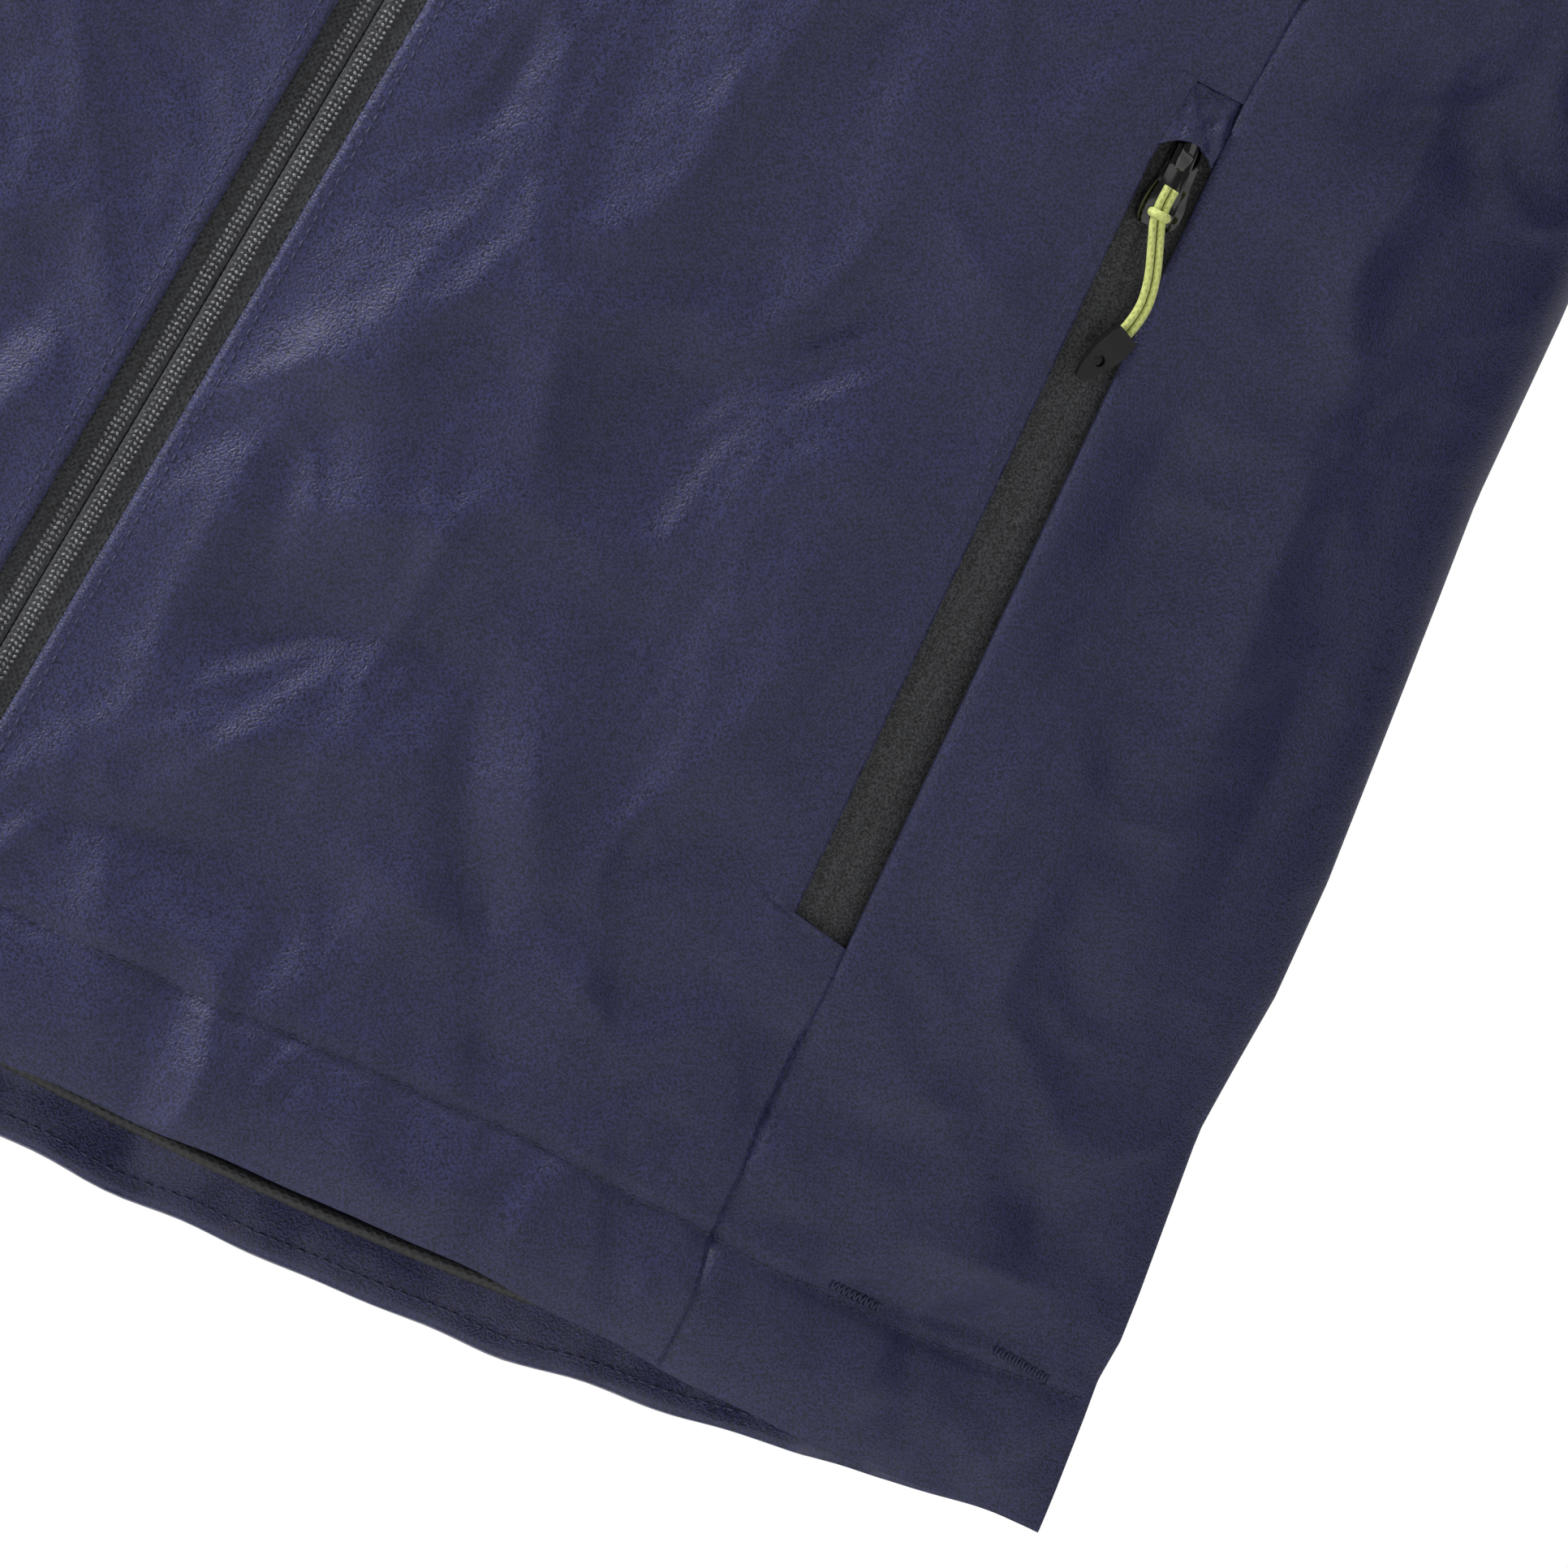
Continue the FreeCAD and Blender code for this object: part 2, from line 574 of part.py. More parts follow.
slider("main_slider", Placement(Vector(0, FRONT_Y, dim("main_slider_z")), Rotation()),
       "size.main_slider_width", "size.main_slider_length", "size.main_bridge_length",
       "size.main_slider_length / 2")
tab_top_z = dim("main_slider_z") + dim("main_slider_length") / 2 - dim("main_bridge_length") + 1
tab = add_body("main_pull_tab", Placement(Vector(0, FRONT_Y, tab_top_z), Rotation()))
add_block(tab, "plate", "Additive",
          ("size.main_tab_width", "size.main_tab_thickness", "size.main_tab_length"),
          ("-size.main_tab_width / 2", "-size.main_tab_thickness - size.main_tab_lift",
           "-size.main_tab_length"))
add_block(tab, "bridge_eye", "Subtractive",
          ("size.main_tab_eye_width", "size.main_tab_thickness", "size.main_tab_eye_length"),
          ("-size.main_tab_eye_width / 2", "-size.main_tab_thickness - size.main_tab_lift",
           "-size.main_tab_eye_length"))
tab_hole = tab.newObject("PartDesign::SubtractiveCylinder", "finger_hole")
tab_hole.setExpression("Radius", "size.main_tab_hole")
tab_hole.setExpression("Height", "size.main_tab_thickness * 3")
tab_hole.setExpression("Placement.Base.y", "size.main_tab_thickness")
tab_hole.setExpression("Placement.Base.z", "-size.main_tab_length + 2 * size.main_tab_hole")
tab_hole.Placement.Rotation = Rotation(Vector(1, 0, 0), 90)

# The storm flap lies behind the zip, from the hem to the throat.
flap = add_body("storm_flap", centre_front)
add_block(flap, "flap", "Additive",
          ("2 * size.flap_half_width", "size.flap_thickness",
           "size.neckline_front_z - size.flap_below_throat - size.main_zip_foot_z"),
          ("-size.flap_half_width", "size.flap_drop", "size.main_zip_foot_z"))

# ---------------------------------------------------------------- pocket zips

fill_cells(pocket_length=round(pocket_length, 2))
doc.recompute()
tape_low = "-size.pocket_length - size.pocket_tape_below"
tape_run = "size.pocket_tape_above + size.pocket_length + size.pocket_tape_below"
coil_drop = "size.zip_tape_drop + size.zip_tape_thickness"
pocket_sides = (("left", left_pocket, 1), ("right", right_pocket, -1))
for label, place, sign in pocket_sides:
    tape = add_body("pocket_zip_tape_%s" % label, place)
    coil = add_body("pocket_zip_coil_%s" % label, place)
    for half, tape_at, coil_at in (
            ("near", "-size.zip_tape_inner - size.pocket_tape_half",
             "-size.zip_tape_inner - size.zip_coil_width"),
            ("far", "size.zip_tape_inner", "size.zip_tape_inner")):
        add_block(tape, half + "_tape", "Additive",
                  ("size.pocket_tape_half", "size.zip_tape_thickness", tape_run),
                  (tape_at, "size.zip_tape_drop", tape_low))
        add_block(coil, half + "_coil", "Additive",
                  ("size.zip_coil_width", "size.zip_coil_thickness", tape_run),
                  (coil_at, coil_drop, tape_low))
    # The two halves are joined by a short bridge past both ends of the opening.
    for end, low in (("head", "size.pocket_tape_above - size.pocket_tape_join"), ("foot", tape_low)):
        add_block(tape, end + "_join", "Additive",
                  ("2 * size.zip_tape_inner", "size.zip_tape_thickness", "size.pocket_tape_join"),
                  ("-size.zip_tape_inner", "size.zip_tape_drop", low))
        add_block(coil, end + "_stop", "Additive",
                  ("2 * size.zip_tape_inner", "size.zip_coil_thickness", "size.pocket_tape_join"),
                  ("-size.zip_tape_inner", coil_drop, low))
    garage = add_body("pocket_garage_%s" % label, place)
    add_block(garage, "cover", "Additive",
              ("2 * size.pocket_slot_half + 2 * size.garage_overlap", "size.garage_thickness",
               "size.garage_length"),
              ("-size.pocket_slot_half - size.garage_overlap",
               "-size.garage_thickness - size.garage_lift",
               "size.pocket_slot_above + size.garage_gap"))
    slider("pocket_slider_%s" % label, place, "size.pocket_slider_width",
           "size.pocket_slider_length", "size.pocket_bridge_length", "size.pocket_slider_above")

# The pull: two strands of cord from the bridge to a moulded end, curling back at the bottom.
pull_route = ((0, 1.2, 2.4), (-0.7, 1.3, 7.6), (1.9, 1.5, 14.1), (4.5, 1.7, 21), (5.3, 1.8, 28),
              (3.4, 1.7, 33.5))
gap_half = dim("pull_strand_gap")
end_mouth = Vector(4.1, 0, 32.4)
end_tip = Vector(-1.4, 0, 44.2)
end_turn = degrees(atan2(end_tip.x - end_mouth.x, end_tip.z - end_mouth.z))
for strand, offset in (("a", -gap_half), ("b", gap_half)):
    points = []
    for index, (across, out, down) in enumerate(pull_route):
        before = pull_route[max(index - 1, 0)]
        after = pull_route[min(index + 1, len(pull_route) - 1)]
        run = hypot(after[0] - before[0], after[2] - before[2])
        sideways = ((after[2] - before[2]) / run, -(after[0] - before[0]) / run)
        points.append(pocket_point(across + offset * sideways[0], out, down + offset * sideways[1]))
    strand_shape = tube(points, dim("pull_cord_radius"), "pull strand " + strand)
    both_sides("pocket_pull_cord_%s" % strand, strand_shape)

for label, place, sign in pocket_sides:
    turn = Rotation(Vector(0, 1, 0), sign * end_turn)
    spot = Placement(Vector(sign * end_mouth.x, -dim("pull_end_lift"), -end_mouth.z), turn)
    pull_end = add_body("pocket_pull_end_%s" % label, place.multiply(spot))
    wedge = pull_end.newObject("PartDesign::AdditiveWedge", "grip")
    wedge.Placement.Rotation = Rotation(Vector(1, 0, 0), -90)
    for key, expression in (
            ("Xmin", "-size.pull_end_width / 2"), ("Xmax", "size.pull_end_width / 2"),
            ("Ymin", "0"), ("Ymax", "size.pull_end_length"),
            ("Zmin", "-size.pull_end_thickness / 2"), ("Zmax", "size.pull_end_thickness / 2"),
            ("X2min", "-size.pull_end_tip_width / 2"), ("X2max", "size.pull_end_tip_width / 2"),
            ("Z2min", "-size.pull_end_tip_thickness / 2"),
            ("Z2max", "size.pull_end_tip_thickness / 2")):
        wedge.setExpression(key, expression)
    hole = pull_end.newObject("PartDesign::SubtractiveCylinder", "eye")
    hole.setExpression("Radius", "size.pull_end_hole")
    hole.setExpression("Height", "size.pull_end_thickness * 2")
    hole.setExpression("Placement.Base.y", "size.pull_end_thickness")
    hole.setExpression("Placement.Base.z", "-size.pull_end_length * size.pull_eye_place")
    hole.Placement.Rotation = Rotation(Vector(1, 0, 0), 90)

# Flat pocket bags hang behind the zips.
bag = torso_layer(dim("bag_inset"), dim("bag_inset") + dim("bag_thickness"))
bag_outline = [
    (dim("bag_near_x"), dim("bag_foot_z") + 30), (dim("bag_near_x") + 30, dim("bag_foot_z")),
    (dim("bag_far_x") - 20, dim("bag_foot_z")), (dim("bag_far_x"), dim("bag_foot_z") + 20),
    (dim("bag_far_x") - 14, dim("bag_top_z")), (dim("bag_near_x") + 20, dim("bag_top_z")),
]
both_sides("pocket_bag", bag.common(prism(bag_outline, "XZ", -FAR, SEAM_Y)))

# ---------------------------------------------------------------- sleeves

lean = radians(dim("sleeve_lean"))
sleeve_down = Vector(sin(lean), 0, -cos(lean))
sleeve_out = Vector(cos(lean), 0, sin(lean))


def head_ring(name):
    inner = Vector(dim(name + "_inner_x"), SEAM_Y + 2, dim(name + "_inner_z"))
    outer = Vector(dim(name + "_outer_x"), SEAM_Y + 2, dim(name + "_outer_z"))
    centre = (inner + outer) * 0.5
    return centre, (outer - inner).normalize(), (outer - inner).Length / 2, dim(name + "_depth")


bicep = head_ring("sleeve_bicep")


def arm_ring(name, down):
    centre = bicep[0] + sleeve_down * down - Vector(0, dim(name + "_forward"), 0)
    return centre, sleeve_out, dim(name + "_half_width"), dim(name + "_half_depth")


def arm_solid(rings, inset):
    """Loft through oval rings that each lie across the sleeve."""
    wires = []
    angles = [radians(22.5 * step) for step in range(9)]
    for centre, out, half_width, half_depth in rings:
        halves = []
        for side in (-1, 1):
            points = []
            for angle in angles:
                points.append(centre - out * ((half_width - inset) * cos(angle))
                              + Vector(0, side * (half_depth - inset) * sin(angle), 0))
            curve = Part.BSplineCurve()
            curve.interpolate(Points=points, Parameters=angles)
            halves.append(curve.toShape())
        wires.append(Part.Wire(halves))
    return Part.makeLoft(wires, True, True)


def arm_layer(rings, outer_inset, inner_inset):
    return arm_solid(rings, outer_inset).cut(arm_solid(rings, inner_inset))


elbow = arm_ring("elbow", dim("elbow_down"))
wrist = arm_ring("wrist", dim("wrist_down"))
cuff_end = arm_ring("cuff", dim("cuff_down"))
head_rings = [head_ring(row[0]) for row in SLEEVE_HEAD]
both_sides("sleeve_upper", arm_layer(head_rings + [elbow], 0, dim("sleeve_thickness")))
both_sides("sleeve_lower", arm_layer([elbow, wrist], 0, dim("sleeve_thickness")))
both_sides("cuff", arm_layer([wrist, cuff_end], 0, dim("cuff_thickness")))
seal_in = dim("seal_inset")
both_sides("cuff_seal", arm_layer([wrist, cuff_end], seal_in, seal_in + dim("seal_thickness")))

# The cuff tab is a curved strap on the front of the cuff, sewn at its outer end.
tab_layer = arm_layer([wrist, cuff_end], -dim("tab_gap") - dim("tab_thickness"), -dim("tab_gap"))
tab_centre = (wrist[0] + cuff_end[0]) * 0.5
tab_box = Part.makeBox(2 * dim("tab_reach"), 80, dim("tab_height"),
                       Vector(-dim("tab_reach"), -80, -dim("tab_height") / 2))
tab_frame = Rotation(sleeve_out, Vector(0, 1, 0), -sleeve_down, "ZXY")
tab_box.Placement = Placement(tab_centre - Vector(0, 4, 0), tab_frame)
both_sides("cuff_tab", tab_layer.common(tab_box))

# ---------------------------------------------------------------- hood

hood_rings = [[dim("%s_%s" % (row[0], key)) for key in HOOD_KEYS] for row in HOOD]
face_outline = [
    (dim("face_low_y"), dim("face_low_z") - 40), (dim("face_low_y"), dim("face_low_z")),
    (dim("face_high_y"), dim("face_high_z")), (-FAR, dim("face_high_z") + 20),
    (-FAR, dim("face_low_z") - 40),
]
face = prism(face_outline, "YZ", -FAR, FAR)
hood = oval_solid(hood_rings, 0).cut(oval_solid(hood_rings, dim("hood_thickness"))).cut(face)
seam_half = dim("hood_seam_half")
middle = Part.makeBox(2 * seam_half, 2 * FAR, 2 * FAR, Vector(-seam_half, -FAR, -FAR))
outside = Part.makeBox(FAR, 2 * FAR, 2 * FAR, Vector(seam_half, -FAR, -FAR))
add_feature("hood_centre", hood.common(middle))
both_sides("hood_side", hood.common(outside))

# The peak is a stiff curved strip over the brow.
peak_radius = dim("peak_radius")
half_angle = dim("peak_half_angle")
peak_centre = Vector(0, dim("peak_y"), dim("peak_z") - peak_radius)
peak_turn = Rotation(Vector(1, 0, 0), dim("peak_tilt"))
peak_forward = peak_turn.multVec(Vector(0, -1, 0))
ring = Part.makeCylinder(peak_radius, dim("peak_reach"), peak_centre, peak_forward)
ring = ring.cut(Part.makeCylinder(peak_radius - dim("peak_thickness"), dim("peak_reach"),
                                  peak_centre, peak_forward))
sector_x = FAR * tan(radians(half_angle))
sector = prism([(0, 0), (-sector_x, FAR), (sector_x, FAR)], "XZ", -FAR, FAR)
sector.Placement = Placement(peak_centre, peak_turn)
add_feature("hood_peak", ring.common(sector))

# A narrow band joins the hood's back edge to the collar.
band_top = dim("hood_foot_level") - dim("band_lift")
band_rings = [(level, *hood_rings[0][1:]) for level in (band_top - dim("band_height"), band_top)]
band_gap = dim("band_clearance")
band = oval_solid(band_rings, 1).cut(oval_solid(collar_rings, -band_gap))
band = band.cut(torso_solid(-band_gap))
behind = Part.makeBox(2 * FAR, FAR, 2 * FAR, Vector(-FAR, SEAM_Y + 20, -FAR))
add_feature("hood_neck_band", band.common(behind))

# ---------------------------------------------------------------- checks and export

doc.recompute()
for piece in doc.Objects:
    if "Invalid" in piece.State or "Error" in piece.State:
        raise RuntimeError("%s did not compute: %s" % (piece.Label, piece.State))
for piece in subparts:
    if piece.Shape.isNull() or not piece.Shape.isValid() or not piece.Shape.Solids:
        raise RuntimeError("%s has no valid solid" % piece.Label)
    piece.Shape.exportStep("parts/%s.step" % piece.Label)
    print("%-26s %d solid(s), %.0f mm3" % (piece.Label, len(piece.Shape.Solids), piece.Shape.Volume))
print(len(subparts), "nodes")
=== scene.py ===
import json
import math
import bpy
import numpy as np
from mathutils import Matrix, Vector

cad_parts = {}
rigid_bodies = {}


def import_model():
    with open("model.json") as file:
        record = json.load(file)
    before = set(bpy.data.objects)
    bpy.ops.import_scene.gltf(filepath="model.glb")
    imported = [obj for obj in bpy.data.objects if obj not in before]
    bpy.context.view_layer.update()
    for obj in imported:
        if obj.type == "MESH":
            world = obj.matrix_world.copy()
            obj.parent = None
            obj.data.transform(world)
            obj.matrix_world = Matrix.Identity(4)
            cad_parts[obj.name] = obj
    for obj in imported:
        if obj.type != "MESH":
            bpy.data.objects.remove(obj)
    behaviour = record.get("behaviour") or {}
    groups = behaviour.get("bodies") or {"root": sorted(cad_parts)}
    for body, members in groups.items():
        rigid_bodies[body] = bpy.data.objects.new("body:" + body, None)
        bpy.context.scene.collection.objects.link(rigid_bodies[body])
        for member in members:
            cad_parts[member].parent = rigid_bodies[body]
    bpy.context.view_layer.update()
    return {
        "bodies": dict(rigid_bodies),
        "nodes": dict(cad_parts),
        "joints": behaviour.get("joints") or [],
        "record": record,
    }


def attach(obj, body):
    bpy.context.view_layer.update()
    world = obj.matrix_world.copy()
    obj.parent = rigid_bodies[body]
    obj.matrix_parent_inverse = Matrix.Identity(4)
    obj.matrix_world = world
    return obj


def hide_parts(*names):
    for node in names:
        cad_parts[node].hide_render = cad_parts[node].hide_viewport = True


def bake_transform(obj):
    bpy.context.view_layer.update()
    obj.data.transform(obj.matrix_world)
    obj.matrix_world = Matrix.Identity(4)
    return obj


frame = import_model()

# ---------------------------------------------------------------- studio
# A pale sweep of floor and four soft lights: the key, a weak fill that opens the shadows, one
# behind and one on top. The camera looks straight at the lower left front, rolled over.
FLOOR_Z = -1.25
roll = math.radians(30.7)
view_centre = Vector((0.1476, -0.13, -0.5895))
view_width = 0.3116
view_distance = 8.0
camera = bpy.data.objects.new("camera", bpy.data.cameras.new("camera"))
bpy.context.scene.collection.objects.link(camera)
camera.data.sensor_width = 36
camera.data.lens = camera.data.sensor_width * view_distance / view_width
camera.data.clip_end = 100
camera.matrix_world = Matrix((
    (math.cos(roll), -math.sin(roll), 0, view_centre.x),
    (0, 0, -1, view_centre.y - view_distance),
    (math.sin(roll), math.cos(roll), 0, view_centre.z),
    (0, 0, 0, 1),
))
bpy.context.scene.camera = camera

world = bpy.data.worlds.new("studio")
bpy.context.scene.world = world
world.use_nodes = True
sky = world.node_tree.nodes["Background"]
path = world.node_tree.nodes.new("ShaderNodeLightPath")
level = world.node_tree.nodes.new("ShaderNodeMapRange")
level.inputs["To Min"].default_value = 0.15
level.inputs["To Max"].default_value = 1.0
world.node_tree.links.new(path.outputs["Is Camera Ray"], level.inputs["Value"])
world.node_tree.links.new(level.outputs["Result"], sky.inputs["Strength"])
sky.inputs["Color"].default_value = (1, 1, 1, 1)


def soft_light(name, place, aim, size, watts):
    """A square softbox that the camera doesn't see."""
    lamp = bpy.data.objects.new(name, bpy.data.lights.new(name, "AREA"))
    lamp.data.shape = "SQUARE"
    lamp.data.size = size
    lamp.data.energy = watts
    lamp.location = place
    lamp.rotation_euler = (Vector(aim) - Vector(place)).to_track_quat("-Z", "Y").to_euler()
    lamp.visible_camera = False
    bpy.context.scene.collection.objects.link(lamp)


soft_light("key", (-2.3, -0.95, 0.85), (0.12, -0.15, -0.55), 0.8, 99)
soft_light("fill", (2.2, -2.0, 0.9), (0.0, 0.0, -0.4), 2.4, 14)
soft_light("back", (0.6, 2.6, 1.2), (0.0, 0.0, -0.3), 2.2, 60)
soft_light("top", (0.0, -0.4, 2.4), (0.0, 0.0, -0.2), 1.8, 30)

bpy.ops.mesh.primitive_plane_add(size=400, location=(0, 0, FLOOR_Z))
floor = bpy.context.object
floor.name = "floor"
floor_paint = bpy.data.materials.new("floor_paint")
floor_paint.use_nodes = True
nodes = floor_paint.node_tree.nodes
links = floor_paint.node_tree.links
nodes["Principled BSDF"].inputs["Base Color"].default_value = (0.86, 0.86, 0.85, 1)
nodes["Principled BSDF"].inputs["Roughness"].default_value = 0.8
spot = nodes.new("ShaderNodeTexCoord")
away = nodes.new("ShaderNodeVectorMath")
away.operation = "LENGTH"
fade = nodes.new("ShaderNodeMapRange")
fade.inputs["From Min"].default_value = 1.2
fade.inputs["From Max"].default_value = 5.0
glow = nodes.new("ShaderNodeEmission")
blend = nodes.new("ShaderNodeMixShader")
links.new(spot.outputs["Object"], away.inputs[0])
links.new(away.outputs["Value"], fade.inputs["Value"])
links.new(fade.outputs["Result"], blend.inputs["Fac"])
links.new(nodes["Principled BSDF"].outputs["BSDF"], blend.inputs[1])
links.new(glow.outputs["Emission"], blend.inputs[2])
links.new(blend.outputs["Shader"], nodes["Material Output"].inputs["Surface"])
floor.data.materials.append(floor_paint)
bpy.context.scene.view_settings.view_transform = "Standard"

# ---------------------------------------------------------------- pocket pulls
# Each pocket's pull is one 1.6 mm braided cord, doubled: both strands leave the slider's bridge,
# pass through a knot and end in a moulded grip. It hangs limp and curls back at the bottom.
POCKET_TOP = Vector((0.1529, -0.12737, -0.446))
POCKET_FOOT = Vector((0.1687, -0.12141, -0.611))
pocket_up = (POCKET_TOP - POCKET_FOOT).normalized()
pocket_across = Vector((0.93989, 0.32596, 0.10177))
pocket_out = pocket_across.cross(pocket_up)
CORD_RADIUS = 0.0008
STRAND_OFFSET = 0.0009
pull_route = (
    (0, 0.0012, 0.0024), (-0.0007, 0.0013, 0.0076), (0.0019, 0.0015, 0.0141),
    (0.0045, 0.0017, 0.0210), (0.0053, 0.0018, 0.0280), (0.0034, 0.0017, 0.0335),
)


def pocket_point(side, across, out, down):
    """A place by a pocket's zip: across it, out of the fabric and down from its top."""
    place = POCKET_TOP + pocket_across * across + pocket_out * out - pocket_up * down
    return Vector((side * place.x, place.y, place.z))


def place_copy(template, name, spots):
    """Copies one small modelled shape to every spot, as a single mesh."""
    corners = np.array([vertex.co for vertex in template.data.vertices])
    faces = [list(face.vertices) for face in template.data.polygons]
    points = []
    rows = []
    for index, spot in enumerate(spots):
        matrix = np.array(spot)
        points.append(corners @ matrix[:3, :3].T + matrix[:3, 3])
        start = index * len(corners)
        rows += [[start + corner for corner in face] for face in faces]
    mesh = bpy.data.meshes.new(name)
    mesh.from_pydata(np.concatenate(points).tolist(), [], rows)
    mesh.shade_smooth()
    copies = bpy.data.objects.new(name, mesh)
    bpy.context.scene.collection.objects.link(copies)
    return copies


def start_edit(piece):
    """Selects only this piece and opens it for editing."""
    bpy.ops.object.select_all(action="DESELECT")
    bpy.context.view_layer.objects.active = piece
    piece.select_set(True)
    bpy.ops.object.mode_set(mode="EDIT")


def apply_all(piece):
    """Applies every modifier, then the object's place, so that the place is in the mesh."""
    bpy.ops.object.select_all(action="DESELECT")
    bpy.context.view_layer.objects.active = piece
    piece.select_set(True)
    for modifier in list(piece.modifiers):
        bpy.ops.object.modifier_apply(modifier=modifier.name)
    bpy.ops.object.transform_apply(location=True, rotation=True, scale=True)


def mend(piece, gap=0.0):
    """Merges points closer than the gap, and turns every face outwards."""
    start_edit(piece)
    bpy.ops.mesh.select_all(action="SELECT")
    if gap > 0:
        bpy.ops.mesh.remove_doubles(threshold=gap)
    bpy.ops.mesh.normals_make_consistent(inside=False)
    bpy.ops.object.mode_set(mode="OBJECT")


def axes_at(across, out, up, place):
    """A matrix with these three axes, at a place."""
    matrix = Matrix((across, out, up)).transposed().to_4x4()
    matrix.translation = place
    return matrix


def hand_over(piece, material, slot, body, *nodes):
    """Gives a finished piece its material and body, and hides the nodes that it stands for. The slot is not
    used.
    """
    piece.data.materials.append(material)
    if nodes:
        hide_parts(*nodes)
    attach(piece, body)


def new_material(name, colour, roughness):
    """A material and its Principled shader."""
    material = bpy.data.materials.new(name)
    material.use_nodes = True
    shader = material.node_tree.nodes["Principled BSDF"]
    shader.inputs["Base Color"].default_value = (*colour, 1)
    shader.inputs["Roughness"].default_value = roughness
    return material, shader


def group_with(name, inputs, outputs):
    """An empty shader node group with float inputs and named outputs."""
    group = bpy.data.node_groups.new(name, "ShaderNodeTree")
    for label, value in inputs:
        socket = group.interface.new_socket(label, in_out="INPUT", socket_type="NodeSocketFloat")
        socket.default_value = value
    for label in outputs:
        group.interface.new_socket(label, in_out="OUTPUT", socket_type="NodeSocketFloat")
    return group, group.nodes.new("NodeGroupInput"), group.nodes.new("NodeGroupOutput")


def add_node(tree, kind, settings=(), values=(), **wires):
    """A node with its settings and input values; each wire is an output socket to read."""
    node = tree.nodes.new("ShaderNode" + kind)
    for key, value in dict(settings).items():
        setattr(node, key, value)
    for key, value in dict(values).items():
        node.inputs[key].default_value = value
    for key, socket in wires.items():
        place = int(key[1:]) if key[0] == "i" and key[1:].isdigit() else key.replace("_", " ")
        tree.links.new(socket, node.inputs[place])
    return node


# Braid, weave and knit: crossing thread waves and the unevenness of the yarn.
weave, weave_in, weave_out = group_with(
    "weave", (("Pitch", 2000), ("Grain", 1500), ("Unevenness", 0.4)), ("Shade", "Height"))
weave_spot = add_node(weave, "TexCoord")
warp = add_node(weave, "TexWave", {"bands_direction": "DIAGONAL"},
                {"Distortion": 1.2, "Detail": 2.0, "Detail Scale": 1.5},
                Vector=weave_spot.outputs["Object"], Scale=weave_in.outputs["Pitch"])
flipped = add_node(weave, "Mapping", (), {"Rotation": (0, math.radians(90), 0)},
                   Vector=weave_spot.outputs["Object"])
weft = add_node(weave, "TexWave", {"bands_direction": "DIAGONAL"},
                {"Distortion": 1.2, "Detail": 2.0, "Detail Scale": 1.5},
                Vector=flipped.outputs["Vector"], Scale=weave_in.outputs["Pitch"])
crossed = add_node(weave, "Math", {"operation": "MAXIMUM"}, (), i0=warp.outputs["Fac"],
                   i1=weft.outputs["Fac"])
mottle = add_node(weave, "TexNoise", (), {"Detail": 2.0, "Roughness": 0.55},
                  Vector=weave_spot.outputs["Object"], Scale=weave_in.outputs["Grain"])
spread = add_node(weave, "MapRange", (), {"From Min": 0.39, "From Max": 0.61},
                  Value=mottle.outputs["Fac"])
mixed = add_node(weave, "Mix", {"data_type": "FLOAT"}, (), Factor=weave_in.outputs["Unevenness"],
                 i2=crossed.outputs["Value"], i3=spread.outputs["Result"])
weave.links.new(mixed.outputs["Result"], weave_out.inputs["Shade"])
weave.links.new(mixed.outputs["Result"], weave_out.inputs["Height"])


def woven(name, dark, light, roughness, pitch, grain_scale, mottled, depth, sheen=0.0):
    """A thread surface: its colour runs between two shades and its threads stand proud."""
    material, shader = new_material(name, dark, roughness)
    tree = material.node_tree
    threads = tree.nodes.new("ShaderNodeGroup")
    threads.node_tree = weave
    for key, value in (("Pitch", pitch), ("Grain", grain_scale), ("Unevenness", mottled)):
        threads.inputs[key].default_value = value
    colour = add_node(tree, "Mix", {"data_type": "RGBA"}, {6: (*dark, 1), 7: (*light, 1)},
                      Factor=threads.outputs["Shade"])
    bump = add_node(tree, "Bump", (), {"Strength": 0.6, "Distance": depth},
                    Height=threads.outputs["Height"])
    tree.links.new(colour.outputs[2], shader.inputs["Base Color"])
    tree.links.new(bump.outputs["Normal"], shader.inputs["Normal"])
    shader.inputs["Sheen Weight"].default_value = sheen
    shader.inputs["Sheen Roughness"].default_value = 0.4
    return material


cord_thread = woven("cord_thread", (0.42, 0.47, 0.12), (0.68, 0.74, 0.24), 0.62, 380, 2200, 0.3,
                    0.00016, 0.3)
matt_plastic, matt_shader = new_material("matt_plastic", (0.006, 0.006, 0.007), 0.40)
matt_shader.inputs["Specular IOR Level"].default_value = 0.35
grain = add_node(matt_plastic.node_tree, "TexNoise", (), {"Scale": 2600.0, "Detail": 2.0})
grain_spot = add_node(matt_plastic.node_tree, "TexCoord")
matt_plastic.node_tree.links.new(grain_spot.outputs["Object"], grain.inputs["Vector"])
grain_bump = add_node(matt_plastic.node_tree, "Bump", (), {"Strength": 0.35, "Distance": 0.00006},
                      Height=grain.outputs["Fac"])
matt_plastic.node_tree.links.new(grain_bump.outputs["Normal"], matt_shader.inputs["Normal"])

